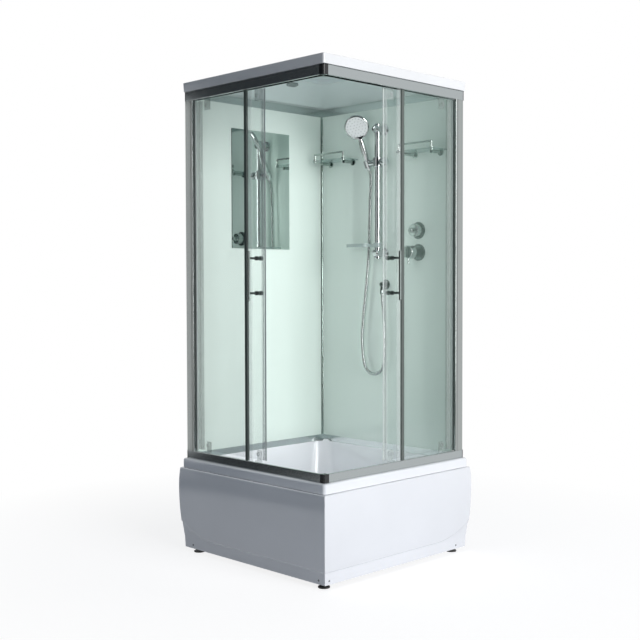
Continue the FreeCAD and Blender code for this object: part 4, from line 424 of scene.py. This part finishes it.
def tray():
    # The skirt, the rounded rim and the lip of the basin
    loops = [level(0, SKIRT_FOOT, SKIRT_CORNER), level(0, LEDGE - 1, SKIRT_CORNER)]
    loops += [level(RIM_ROUND * (1 - c), LEDGE + RIM_ROUND * s, SKIRT_CORNER)
              for c, s in quarter(7, 1)]
    loops.append(level(RIM_INSET, RIM_TOP, RIM_CORNER))
    loops += [basin(-LIP_ROUND + LIP_ROUND * s, RIM_TOP - LIP_ROUND * (1 - c), LIP_CORNER)
              for c, s in quarter(7)]
    # The basin's wall, and its round into the floor
    wall_top, wall_foot = RIM_TOP - LIP_ROUND, FLOOR + FLOOR_ROUND
    loops += [wall(wall_top - (wall_top - wall_foot) * part / 5) for part in range(1, 5)]
    loops += [wall(FLOOR + FLOOR_ROUND * (1 - s), FLOOR_ROUND * (1 - c)) for c, s in quarter(8)]
    # The floor, which falls to the waste hole, and its underside
    ring = [Vector((x - DRAIN_X, y - DRAIN_Y, 0)) for x, y, z in loops[-1]]
    loops += [drain_loop(ring, *row) for row in FLOOR_LOOPS]
    # The outside of the basin up to the rim, and the inside of the skirt
    loops += [basin(*row) for row in BASIN_OUTSIDE]
    loops += [level(*row) for row in SKIRT_INSIDE]
    obj = stacked("tray_skin", loops, M["tray"])
    carve(obj, [((*low, LEDGE), (*high, SEAT_TOP)) for low, high in SEATS])
    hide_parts("tray")
    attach(obj, "cabin")


tray()


# Aprons: a bulging sheet whose lower part steps back along a crease that sweeps up. A reach is
# how far out from the middle of the cabin a point of the sheet lies

def arc_points(start, end, radius, count):
    """Points on a short arc that bows outward, as (reach, height)."""
    (d0, z0), (d1, z1) = start, end
    half = math.dist(start, end) / 2
    rise = math.sqrt(radius ** 2 - half ** 2)
    mx, mz = (d0 + d1) / 2, (z0 + z1) / 2
    nx, nz = (z1 - z0) / (2 * half), -(d1 - d0) / (2 * half)
    cx, cz = mx - nx * rise, mz - nz * rise
    a0, a1 = math.atan2(z0 - cz, d0 - cx), math.atan2(z1 - cz, d1 - cx)
    return [(cx + radius * math.cos(a0 + (a1 - a0) * i / count),
             cz + radius * math.sin(a0 + (a1 - a0) * i / count)) for i in range(count + 1)]


FOOT_Z, FOLD_Z, BELLY_Z, TOP_Z = 20, 71, 300, 374
APRON_FOOT, APRON_FOLD = (439.5, FOOT_Z), (443, FOLD_Z)
APRON_BELLY, APRON_TOP = (469.5, BELLY_Z), (463, TOP_Z)
BELLY_RADIUS, BROW_RADIUS = 977, 424
PROFILE = [APRON_FOOT, *arc_points(APRON_FOLD, APRON_BELLY, BELLY_RADIUS, 24),
           *arc_points(APRON_BELLY, APRON_TOP, BROW_RADIUS, 8)[1:]]
SWEEP_START, SWEEP_RADIUS = -240, 360
CREASE_HALF, CREASE_DEPTH = 3, 4.5
TOP_ROUND, TOP_REACH, SHEET = 6, 457, 4
FLANGE_REACH, INNER_TOP, INNER_FOOT = 441, 461, 431
INNER_BOW, INNER_LOW, LEAST_ROOM = 6.5, 50, 8.2
FACE_LENGTH, MITRE_GAP = 910, 0.25


def reach_at(z):
    """How far out the raised face lies at a height."""
    for (d0, z0), (d1, z1) in zip(PROFILE, PROFILE[1:]):
        if z <= z1:
            return d0 + (d1 - d0) * (z - z0) / (z1 - z0)
    return PROFILE[-1][0]


def crease_at(x):
    if x >= SWEEP_START:
        return FOLD_Z
    return FOLD_Z + SWEEP_RADIUS - math.sqrt(SWEEP_RADIUS ** 2 - (x - SWEEP_START) ** 2)


def apron_section(crease):
    """Up the face from the foot, over the rounded top, in to the flange and down the inner side."""
    low, high = crease - CREASE_HALF, crease + CREASE_HALF
    section = []
    for part in range(6):
        z = FOOT_Z + (low - FOOT_Z) * (part / 5)
        section.append((reach_at(z) - CREASE_DEPTH, z))
    for part in range(1, 7):
        z = low + 2 * CREASE_HALF * (part / 6)
        step = 0.5 + 0.5 * math.cos(math.pi * (part / 6))
        section.append((reach_at(z) - CREASE_DEPTH * step, z))
    for part in range(1, 31):
        z = high + (TOP_Z - high) * (part / 30)
        section.append((reach_at(z), z))
    section += [(TOP_REACH + TOP_ROUND * c, TOP_Z + TOP_ROUND * s) for c, s in quarter(5, 1)]
    crown = TOP_Z + TOP_ROUND
    section += [(FLANGE_REACH, crown), (FLANGE_REACH, crown - SHEET), (TOP_REACH, crown - SHEET)]
    for part in range(1, 5):
        section.append((TOP_REACH + (INNER_TOP - TOP_REACH) * part / 4,
                        crown - SHEET - (crown - SHEET - BELLY_Z) * part / 4))
    for part in range(1, 13):
        z = BELLY_Z - (BELLY_Z - FOLD_Z) * part / 12
        reach = INNER_TOP - (INNER_TOP - INNER_FOOT) * part / 12
        reach += INNER_BOW * math.sin(math.pi * part / 12)
        section.append((min(reach, reach_at(z) - LEAST_ROOM), z))
    return section + [(INNER_FOOT, INNER_LOW), (INNER_FOOT, FOOT_Z)]


def apron(face):
    """The sheet as a grid of sections along the face, up to the mitre at the free corner."""
    columns = 84
    verts = []
    for column in range(columns + 1):
        share = column / columns
        section = apron_section(crease_at(-TRAY_HALF + share * FACE_LENGTH))
        size = len(section)
        for reach, z in section:
            x = -TRAY_HALF + share * (reach - MITRE_GAP + TRAY_HALF)
            verts.append((x, -reach, z) if face == "front" else (reach, -x, z))
    faces = skin_faces(columns + 1, size)
    obj = mesh_object(f"{face}_apron_sheet", verts, faces, M["apron"], 50)
    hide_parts(f"{face}_apron")
    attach(obj, "cabin")


for face in FACES:
    apron(face)


# Roof shell: band, flat edge and a soft dome, with its inside

BAND_FOOT, ROOF_FLAT, DOME_TOP, ROOF_WALL = 2040, 2080, 2150, 4
EDGE_HALF, EDGE_ROUND, EDGE_CORNER = 437.9, 3.5, 7
DOME_HALF, DOME_CORNER, INNER_CORNER, CORNER_SHRINK = 341, 79, 76, 0.12
DOME_INSIDE = DOME_TOP - ROOF_WALL
# Loops in the order of the skin, as half width, height and corner radius
BAND = ((437.8, BAND_FOOT, 6), (439.3, BAND_FOOT + 0.8, 8), (441.2, 2076, 8))
FLAT = ((400, ROOF_FLAT, 30), (349, ROOF_FLAT + 0.2, 80), (DOME_HALF, ROOF_FLAT + 3, DOME_CORNER))
CROWN = ((100, DOME_TOP, 45), (2, DOME_TOP, 1), (2, DOME_INSIDE, 1), (178, DOME_INSIDE, 58))
BAND_INSIDE = ((338, ROOF_FLAT - 3, INNER_CORNER), (430, ROOF_FLAT - ROOF_WALL, 20),
               (437.2, 2075, 6), (435.3, BAND_FOOT, 5))
# Up the dome's slope, as half width and height
DOME = ((326, 2093.5), (311, 2104.2), (297, 2114), (283, 2123), (270, 2130.5), (255, 2136),
        (240, 2140.5), (225, 2144.4), (205, 2148.2), (180, DOME_TOP))
# Room behind the band's foot for the head of the mirror wall and its strip
WALL_ROOM = ((-446, -394, 2030), (-425, 425, 2054))


def centred(half, z, corner):
    return round_square(-half, half, -half, half, corner, z)


def slope(half, z, corner, thick=0):
    """A loop of the dome's slope, whose corners tighten as it narrows."""
    return centred(half - thick, z - thick, corner - (DOME_HALF - half) * CORNER_SHRINK)


def roof():
    # Outside: the band, its rounded edge, the flat and the dome
    loops = [centred(*row) for row in BAND]
    loops += [centred(EDGE_HALF + EDGE_ROUND * c, ROOF_FLAT - EDGE_ROUND + EDGE_ROUND * s,
                      EDGE_CORNER) for c, s in quarter(5, 1)]
    loops += [centred(*row) for row in FLAT]
    loops += [slope(half, z, DOME_CORNER) for half, z in DOME]
    # Over the crown to the inside: the dome, the flat and the band
    loops += [centred(*row) for row in CROWN]
    loops += [slope(half, z, INNER_CORNER, ROOF_WALL) for half, z in DOME[-2::-1]]
    loops += [centred(*row) for row in BAND_INSIDE]
    obj = stacked("roof_shell", loops, M["roof"])
    carve(obj, [WALL_ROOM])
    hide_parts("roof")
    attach(obj, "cabin")


roof()


# Uprights with one outline: places run along the face and outward (negative) from the middle

def prism(name, face, outline, low, high, mat, holes=()):
    """An upright through two heights, hollow where it has holes."""
    verts, faces = [], []
    loops = [outline, *holes]
    for z in (low, high):
        for loop in loops:
            verts += [(along, depth, z) if face == "front" else (-depth, -along, z)
                      for along, depth in loop]
    total = sum(len(loop) for loop in loops)
    start = 0
    for loop in loops:
        for index in range(len(loop)):
            a, b = start + index, start + (index + 1) % len(loop)
            faces.append((a, b, b + total, a + total))
        start += len(loop)
    made = bmesh.new()
    points = [made.verts.new(Vector(v) * MM) for v in verts]
    for quad in faces:
        made.faces.new([points[i] for i in quad])
    for base in (0, total):
        edges = []
        start = base
        for loop in loops:
            for index in range(len(loop)):
                pair = (points[start + index], points[start + (index + 1) % len(loop)])
                edges.append(made.edges.get(pair) or made.edges.new(pair))
            start += len(loop)
        bmesh.ops.triangle_fill(made, edges=edges, use_beauty=True)
    bmesh.ops.recalc_face_normals(made, faces=made.faces)
    mesh = bpy.data.meshes.new(name)
    made.to_mesh(mesh)
    made.free()
    return shown(name, mesh, mat, 40)


# Magnet strips: a clear vinyl grip on the door's edge, a hollow mitred nose, and the bar in it

STRIP_LOW, STRIP_HIGH = 462, 1997
GRIP = [(36, -404.5), (53, -404.5), (53, -396.5), (36, -396.5), (36, -397.8), (44.2, -397.8),
        (44.2, -403.2), (36, -403.2)]
NOSE = [(53.1, -404.2), (64.4, -404.2), (64.8, -403.9), (57.9, -397.0), (57.4, -396.8),
        (53.1, -396.8)]
NOSE_ROOM = [(54.3, -403.2), (62.6, -403.2), (57.2, -397.8), (54.3, -397.8)]
BAR = [(55.0, -402.9), (61.6, -402.9), (56.8, -398.1), (55.0, -398.1)]
for face in FACES:
    for piece, outline, key, holes in (("grip", GRIP, "vinyl", ()),
                                       ("nose", NOSE, "vinyl", (NOSE_ROOM,)),
                                       ("bar", BAR, "magnet", ())):
        part = prism(f"{face}_strip_{piece}", face, outline, STRIP_LOW, STRIP_HIGH, M[key], holes)
        bevel(part, 0.2, 1, 35)
        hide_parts(f"{face}_magnet_strip")
        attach(part, f"{face}_door")


# Bead: a small cove that covers the joint of the two back walls

BEAD = [(-431.8, 411.8), (-431.8, 403.8), (-429.2, 404.2), (-426.4, 406.2), (-424.2, 409.2),
        (-423.8, 411.8)]
BEAD_LOW, BEAD_HIGH = 441, 2018
bead = prism("corner_bead", "front", BEAD, BEAD_LOW, BEAD_HIGH, M["corner"])
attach(bead, "cabin")


# Hand shower: sections along its axis, from the round grip through the neck to the flat head

HANDSET_X, HANDSET_Y, HANDSET_Z = -76, 362, 1760
TILT, TURN = math.radians(24), math.radians(34)
GRIP_END, NECK_START, RIM_START = 112, 120, 215
HEAD_CENTRE, HEAD_RADIUS, HEAD_DROP, FACE_RISE = 178, 58, 4, 7.5
NECK_HALF, NECK_TAPER, NECK_DEEP, NECK_STOP, HEAD_DEEP = 12, 2, 11.5, 145, 10.5
WIDTH_BLEND, SHIFT_BLEND, RIM_FADE = 26, 28, 23
TIP_HALF, TIP_DEPTH_SQUARED = 5, 0.15
# A section whose half width passes the first is squarish, and past the second its face is flat
SQUARISH_FROM, FLAT_FROM, SQUARENESS = 20, 30, 0.72
# How much further to the spray side the head lies, for each millimetre along it
LEAN = math.tan(math.radians(10)) * 0.9
GRIP_SECTIONS = ((-22, 10.4), (14, 11.6), (16, 12.2), (20, 13.2), (50, 13.9), (80, 13.8),
                 (100, 12.9), (GRIP_END, 12.2))
HEAD_PLACES = (NECK_START, 126, 132, 138, 145, 153, 162, 172, 182, 192, 202, 211, 219, 226, 231,
               234.5, 236)


def on_handset(x, along, off):
    """A place from the handset's own axis, turned in its fork: off is to the spray side."""
    x, off = (x * math.cos(TURN) + off * math.sin(TURN),
              off * math.cos(TURN) - x * math.sin(TURN))
    return (HANDSET_X + x, HANDSET_Y - along * math.sin(TILT) - off * math.cos(TILT),
            HANDSET_Z + along * math.cos(TILT) - off * math.sin(TILT))


def head_section(along):
    """Half the width, half the depth and the shift to the spray side, at a place in the head."""
    wide = math.sqrt(max(HEAD_RADIUS ** 2 - (along - HEAD_CENTRE) ** 2, 0))
    if along < HEAD_CENTRE:
        neck = NECK_HALF - NECK_TAPER * ((along - NECK_START) / (HEAD_CENTRE - NECK_START))
        wide = max(wide, neck + (wide - neck) * min(1, (along - GRIP_END) / WIDTH_BLEND))
    deep = NECK_DEEP if along < NECK_STOP else HEAD_DEEP
    if along >= RIM_START:
        deep *= math.sqrt(max(TIP_DEPTH_SQUARED, 1 - ((along - RIM_START) / RIM_FADE) ** 2))
    shift = HEAD_DROP + LEAN * (along - HEAD_CENTRE)
    return max(wide, TIP_HALF), deep, shift * min(1, (along - GRIP_END) / SHIFT_BLEND)


def handset():
    sections = [(along, radius, radius, 0.0) for along, radius in GRIP_SECTIONS]
    sections += [(along, *head_section(along)) for along in HEAD_PLACES]
    loops, side = [], 40
    for along, wide, deep, shift in sections:
        loop = []
        for index in range(side):
            angle = 2 * math.pi * index / side
            c, s = math.cos(angle), math.sin(angle)
            power = SQUARENESS if wide > SQUARISH_FROM else 1.0
            off = deep * math.copysign(abs(s) ** power, s)
            if wide > FLAT_FROM and s > 0:
                off = min(off, FACE_RISE)
            loop.append(on_handset(wide * c, along, shift + off))
        loops.append(loop)
    obj = stacked("hand_shower_shell", loops, M["handset"], ring=False, smooth=60)
    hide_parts("hand_shower")
    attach(obj, "handset")


def face_loop(x, rise, radius, out, side):
    """A ring round a place on the spray face, at a distance out from it."""
    points = []
    for index in range(side):
        angle = 2 * math.pi * index / side
        across = x + radius * math.cos(angle)
        up = rise + radius * math.sin(angle)
        points.append(on_handset(across, HEAD_CENTRE + up, HEAD_DROP + FACE_RISE + LEAN * up + out))
    return points


PLATE_SECTION = ((50, -3), (50, 0.4), (49.2, 1.0), (47.6, 0.7), (46.6, 0.9), (30, 1.3), (8, 1.5))
NOZZLE_SECTION = ((2.6, 0.6), (2.4, 1.6), (1.6, 2.6))
NOZZLE_RINGS = ((1, 0), (6, 14), (12, 28), (18, 42))
PLATE_SIDES, NOZZLE_SIDES = 64, 10


def spray_face():
    """A crowned plate in the head's rim, and three rings of small nozzles round a middle one."""
    loops = [face_loop(0, 0, radius, out, PLATE_SIDES) for radius, out in PLATE_SECTION]
    plate = stacked("spray_plate", loops, M["spray"], ring=False, smooth=50)
    verts, faces = [], []
    for count, ring in NOZZLE_RINGS:
        for index in range(count):
            angle = 2 * math.pi * index / count
            start = len(verts)
            x, rise = ring * math.cos(angle), ring * math.sin(angle)
            for radius, out in NOZZLE_SECTION:
                verts += face_loop(x, rise, radius, out, NOZZLE_SIDES)
            faces += skin_faces(len(NOZZLE_SECTION), NOZZLE_SIDES, start)
    nozzles = mesh_object("spray_nozzles", verts, faces, M["nozzle"], 40)
    for obj in (plate, nozzles):
        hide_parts("spray_face")
        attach(obj, "handset")


handset()
spray_face()


# Hose: a wound metal sleeve, as rings along the route from the handset to the elbow. Its first
# stretch is a piece of its own

def handset_axis(along):
    return Vector(on_handset(0, along, 0))


ROUTE = [handset_axis(-34), handset_axis(-59.6)] + [Vector(p) for p in (
    (-80, 389, 1650), (-84, 387, 1565), (-86, 386, 1440), (-94, 387, 1300), (-109, 386, 1165),
    (-127, 387, 1040), (-136, 386, 940), (-131, 387, 862), (-119, 386, 802), (-93, 387, 773),
    (-55.5, 386, 764), (-19, 387, 777), (3.6, 386, 808), (7.5, 387, 868), (8, 386, 955),
    (2, 387, 1050), (-4, 385, 1100), (-4, 385, 1146))]
RING_STEP, TOP_RINGS, PATH_EVERY = 0.8, 56, 6
RING_RADII = (7.0, 6.95, 6.5, 6.95)


def spline_line(points, step):
    """The route's NURBS spline, read back as points an even step apart."""
    curve = bpy.data.curves.new("hose_route", "CURVE")
    curve.dimensions = "3D"
    curve.resolution_u = 24
    spline = curve.splines.new("NURBS")
    spline.points.add(len(points) - 1)
    for point, spot in zip(spline.points, points):
        point.co = (*(spot * MM), 1)
    spline.order_u = 3
    spline.use_endpoint_u = True
    holder = bpy.data.objects.new("hose_route", curve)
    bpy.context.scene.collection.objects.link(holder)
    mesh = bpy.data.meshes.new_from_object(holder)
    line = [vertex.co / MM for vertex in mesh.vertices]
    bpy.data.objects.remove(holder)
    bpy.data.curves.remove(curve)
    bpy.data.meshes.remove(mesh)
    even, left = [line[0].copy()], step
    for start, end in zip(line, line[1:]):
        spot, length = start.copy(), (end - start).length
        while length >= left:
            spot = spot + (end - spot) * (left / length)
            even.append(spot.copy())
            length = (end - spot).length
            left = step
        left -= length
    even.append(line[-1].copy())
    return even


def sleeve(name, line, start, stop):
    """Rings of the sleeve along part of the line, with a fine groove every fourth ring."""
    side = 18
    verts = []
    normal = Vector((1, 0, 0))
    for index in range(start, stop):
        ahead = line[min(index + 1, len(line) - 1)] - line[max(index - 1, 0)]
        ahead.normalize()
        normal = (normal - ahead * normal.dot(ahead)).normalized()
        other = ahead.cross(normal)
        radius = RING_RADII[index % len(RING_RADII)]
        for part in range(side):
            angle = 2 * math.pi * part / side
            verts.append(line[index] + (normal * math.cos(angle) + other * math.sin(angle)) * radius)
    obj = mesh_object(name, verts, skin_faces(stop - start, side), M["hose"], 60)
    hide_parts("shower_hose")
    return obj


hose_line = spline_line(ROUTE, RING_STEP)
hose_end = sleeve("hose_sleeve_top", hose_line, 0, TOP_RINGS + 1)
hose = sleeve("hose_sleeve", hose_line, TOP_RINGS, len(hose_line))
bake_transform(hose_end)
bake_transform(hose)
long_part = hose_line[TOP_RINGS:]
hose_path = [tuple(spot * MM) for spot in long_part[:-1:PATH_EVERY]] + [tuple(hose_line[-1] * MM)]
hose_path.reverse()


# Carried-over nodes: which material and how soft the edges are, in millimetres

FINISH = {
    "tray_frame": ("frame", 0.8), "levelling_feet": ("foot", 0.8), "apron_screws": ("screw", 0.3),
    "drain_flange": ("chrome", 0.5), "drain_cover": ("chrome", 0.6), "drain_trap": ("trap", 0.8),
    "rail_end_caps": ("cap", 0.6), "rail_corner_joints": ("dark", 0.8),
    "wall_posts": ("post", 0.35), "wall_strips": ("strip", 0.4),
    "glass_edge_channels": ("channel", 0.35), "glazing_seals": ("vinyl", 0.3),
    "mirror_wall": ("wall", 0.4), "fittings_wall": ("wall", 0.4), "mirror": ("mirror", 0.8),
    "ceiling": ("ceiling", 1.0), "ceiling_lamp": ("lamp", 0.8), "ceiling_vent": ("vent", 0.6),
    "riser_rail": ("chrome", 0.4), "riser_brackets": ("chrome", 0.8),
    "slider_body": ("chrome", 0.8), "slider_knob": ("chrome", 0.6),
    "shower_holder": ("chrome", 0.7), "hose_nut": ("chrome", 0.5), "wall_elbow": ("valve", 0.7),
    "soap_dish": ("dish", 0.7), "shelf_glasses": ("shelf", 0.7),
    "shelf_frames": ("shelf_rail", 0.5), "valve_plumbing": ("brass", 0.6),
    "valve_shields": ("valve", 0.7), "mixer_stem": ("brass", 0.3), "mixer_handle": ("knob", 0.8),
    "diverter_knob": ("knob", 0.6),
}
FACE_FINISH = {
    "bottom_rail": ("rail", 0.35), "top_rail": ("rail", 0.35), "fixed_glass": ("glass", 0.5),
    "door_glass": ("glass", 0.5), "rear_seal": ("vinyl", 0.4), "handle": ("handle", 0.5),
    "wheel_a": ("wheel", 0.3), "wheel_b": ("wheel", 0.3), "door_carriers": ("guide", 0.4),
}
for face in FACES:
    FINISH.update({f"{face}_{name}": finish for name, finish in FACE_FINISH.items()})


CHANNEL_INNER, CHANNEL_OUTER, CHANNEL_BACK = 385, 418, 411
JOIN_ANGLE, EDGE_ANGLE = 0.6, 28


def mirror_edge(middle, normal):
    return abs(normal.x) < 0.5


def in_channel(middle, normal):
    """The wall posts' inner faces, from the pane's plane inward."""
    across, beside = max(middle.x, -middle.y), min(middle.x, -middle.y)
    return CHANNEL_INNER < across < CHANNEL_OUTER and beside > -CHANNEL_BACK


# Faces of a node that have a finish of their own, chosen by their middle and their normal
SECOND_FINISH = {"mirror": ("channel", mirror_edge), "wall_posts": ("lining", in_channel)}


def finish_node(name, key, soft):
    """Gives a node its material and soft edges, once the CAD's coplanar faces are joined."""
    obj = NODES[name]
    obj.data.materials.clear()
    obj.data.materials.append(M[key])
    second, chosen = SECOND_FINISH.get(name, (None, None))
    if second:
        obj.data.materials.append(M[second])
    for polygon in obj.data.polygons:
        picked = bool(second) and chosen(polygon.center / MM, polygon.normal)
        polygon.material_index = 1 if picked else 0
    flat = obj.modifiers.new("flatten", "DECIMATE")
    flat.decimate_type = "DISSOLVE"
    flat.angle_limit = math.radians(JOIN_ANGLE)
    bevel(obj, soft, 2, EDGE_ANGLE)
    smooth = obj.modifiers.new("even_shading", "WEIGHTED_NORMAL")
    smooth.keep_sharp = False


for name, (key, soft) in FINISH.items():
    finish_node(name, key, soft)


# Stage, its planes in millimetres and its lamps in metres: a pale floor, a soft key lamp from the
# right, and a dim studio to the left

def seen_straight(owner):
    """1 for rays from the camera, mirrors and clear glass, and 0 for light that bounces."""
    path = add(owner, "ShaderNodeLightPath")
    last = path.outputs["Is Camera Ray"]
    for kind in ("Is Glossy Ray", "Is Transmission Ray"):
        larger = add(owner, "ShaderNodeMath", operation="MAXIMUM")
        link(owner, last, larger.inputs[0])
        link(owner, path.outputs[kind], larger.inputs[1])
        last = larger.outputs[0]
    return last


def matt(owner, colour):
    return add(owner, "ShaderNodeBsdfDiffuse", {"Color": (*colour, 1)}).outputs[0]


def glow(owner, strength):
    values = {"Color": (1, 1, 1, 1), "Strength": strength}
    return add(owner, "ShaderNodeEmission", values).outputs[0]


def background(owner, colour, strength):
    values = {"Color": (*colour, 1), "Strength": strength}
    return add(owner, "ShaderNodeBackground", values).outputs[0]


def mixed(owner, factor, first, second):
    made = add(owner, "ShaderNodeMixShader")
    link(owner, factor, made.inputs["Fac"])
    link(owner, first, made.inputs[1])
    link(owner, second, made.inputs[2])
    return made.outputs[0]


def floor_material():
    """White where it is seen, with the shadow kept near the object, fading to plain white."""
    mat = bpy.data.materials.new("studio_floor")
    mat.use_nodes = True
    mat.node_tree.nodes.clear()
    near = add(mat, "ShaderNodeAddShader")
    link(mat, glow(mat, 0.84), near.inputs[0])
    link(mat, matt(mat, (0.30, 0.30, 0.31)), near.inputs[1])
    coords = add(mat, "ShaderNodeTexCoord")
    spread = add(mat, "ShaderNodeVectorMath", operation="LENGTH")
    link(mat, coords.outputs["Object"], spread.inputs[0])
    fade = add(mat, "ShaderNodeMapRange", {"From Min": 0.9, "From Max": 2.2})
    link(mat, spread.outputs["Value"], fade.inputs["Value"])
    seen = mixed(mat, fade.outputs["Result"], near.outputs[0], glow(mat, 1.0))
    lit = matt(mat, (0.56, 0.59, 0.63))
    out = add(mat, "ShaderNodeOutputMaterial")
    link(mat, mixed(mat, seen_straight(mat), lit, seen), out.inputs["Surface"])
    return mat


def studio_world():
    """White where it is seen, and a dim cool light on the object."""
    world = bpy.data.worlds.new("studio")
    world.use_nodes = True
    world.node_tree.nodes.clear()
    bright = background(world, (1, 1, 1), 1.0)
    dim = background(world, (0.74, 0.86, 1.0), 0.17)
    out = add(world, "ShaderNodeOutputWorld")
    link(world, mixed(world, seen_straight(world), dim, bright), out.inputs["Surface"])
    return world


def stage_plane(name, corners, mat):
    obj = mesh_object(name, corners, [(0, 1, 2, 3)], mat)
    return obj


def area_lamp(name, spot, target, size, power):
    data = bpy.data.lights.new(name, "AREA")
    data.shape = "RECTANGLE"
    data.size, data.size_y = size
    data.energy = power
    obj = bpy.data.objects.new(name, data)
    bpy.context.scene.collection.objects.link(obj)
    obj.location = spot
    obj.rotation_euler = (Vector(target) - Vector(spot)).to_track_quat("-Z", "Y").to_euler()
    return obj


FLOOR_HALF = 9000
stage_plane("studio_floor_plane", [(-FLOOR_HALF, -FLOOR_HALF, 0), (FLOOR_HALF, -FLOOR_HALF, 0),
                                   (FLOOR_HALF, FLOOR_HALF, 0), (-FLOOR_HALF, FLOOR_HALF, 0)],
            floor_material())
bpy.context.scene.world = studio_world()
# Each lamp's place, the place that it faces, its size and its power
LAMPS = {
    "key": ((14.0, -0.4, 3.0), (0, 0, 1.0), (8.4, 8.4), 1930),
    "top": ((1.6, 0.4, 4.4), (0, 0, 1.0), (2.4, 2.4), 14),
    "inside": ((0.30, -0.30, 1.30), (-0.30, 0.42, 1.12), (0.25, 1.5), 2.7),
}
lamps = {name: area_lamp(name, *values) for name, values in LAMPS.items()}
lamps["inside"].visible_camera = False
lamps["inside"].visible_glossy = False

# Dim cards outside the frame, which give the metal its dark side and shade nothing. A gap in the
# left one, between low and high, leaves white for the wall post to reflect
CARD_TOP, GAP_LOW, GAP_HIGH = 2700, 215, 2245
CARDS = {
    "studio_card_left": ((-1525, -1325), (-400, -2450), 0, CARD_TOP),
    "studio_card_low": ((-2100, -750), (-1525, -1325), 0, GAP_LOW),
    "studio_card_high": ((-2100, -750), (-1525, -1325), GAP_HIGH, CARD_TOP),
    "studio_card_front": ((760, -3440), (3440, -760), 0, CARD_TOP),
}
card_mat, card_shader = new_material("dim_card", Roughness=0.9)
card_shader.inputs["Base Color"].default_value = (0.03, 0.035, 0.04, 1)
for name, ((x0, y0), (x1, y1), low, high) in CARDS.items():
    card = stage_plane(name, [(x0, y0, low), (x1, y1, low), (x1, y1, high), (x0, y0, high)],
                       card_mat)
    card.visible_camera = False
    card.visible_shadow = False
    card.visible_diffuse = False

# Camera, solved from the photo
SENSOR, FOCAL_PIXELS, PHOTO_PIXELS = 36, 1056.87, 640
CAMERA_PLACE, CAMERA_TURN = (3.32335, -3.30507, 1.20303), (87.9406, 0.1405, 45.4055)
camera_data = bpy.data.cameras.new("camera")
camera_data.sensor_width = SENSOR
camera_data.lens = SENSOR * FOCAL_PIXELS / PHOTO_PIXELS
camera = bpy.data.objects.new("camera", camera_data)
bpy.context.scene.collection.objects.link(camera)
camera.location = CAMERA_PLACE
camera.rotation_euler = Euler([math.radians(angle) for angle in CAMERA_TURN], "XYZ")
bpy.context.scene.camera = camera
bpy.context.scene.view_settings.view_transform = "Standard"
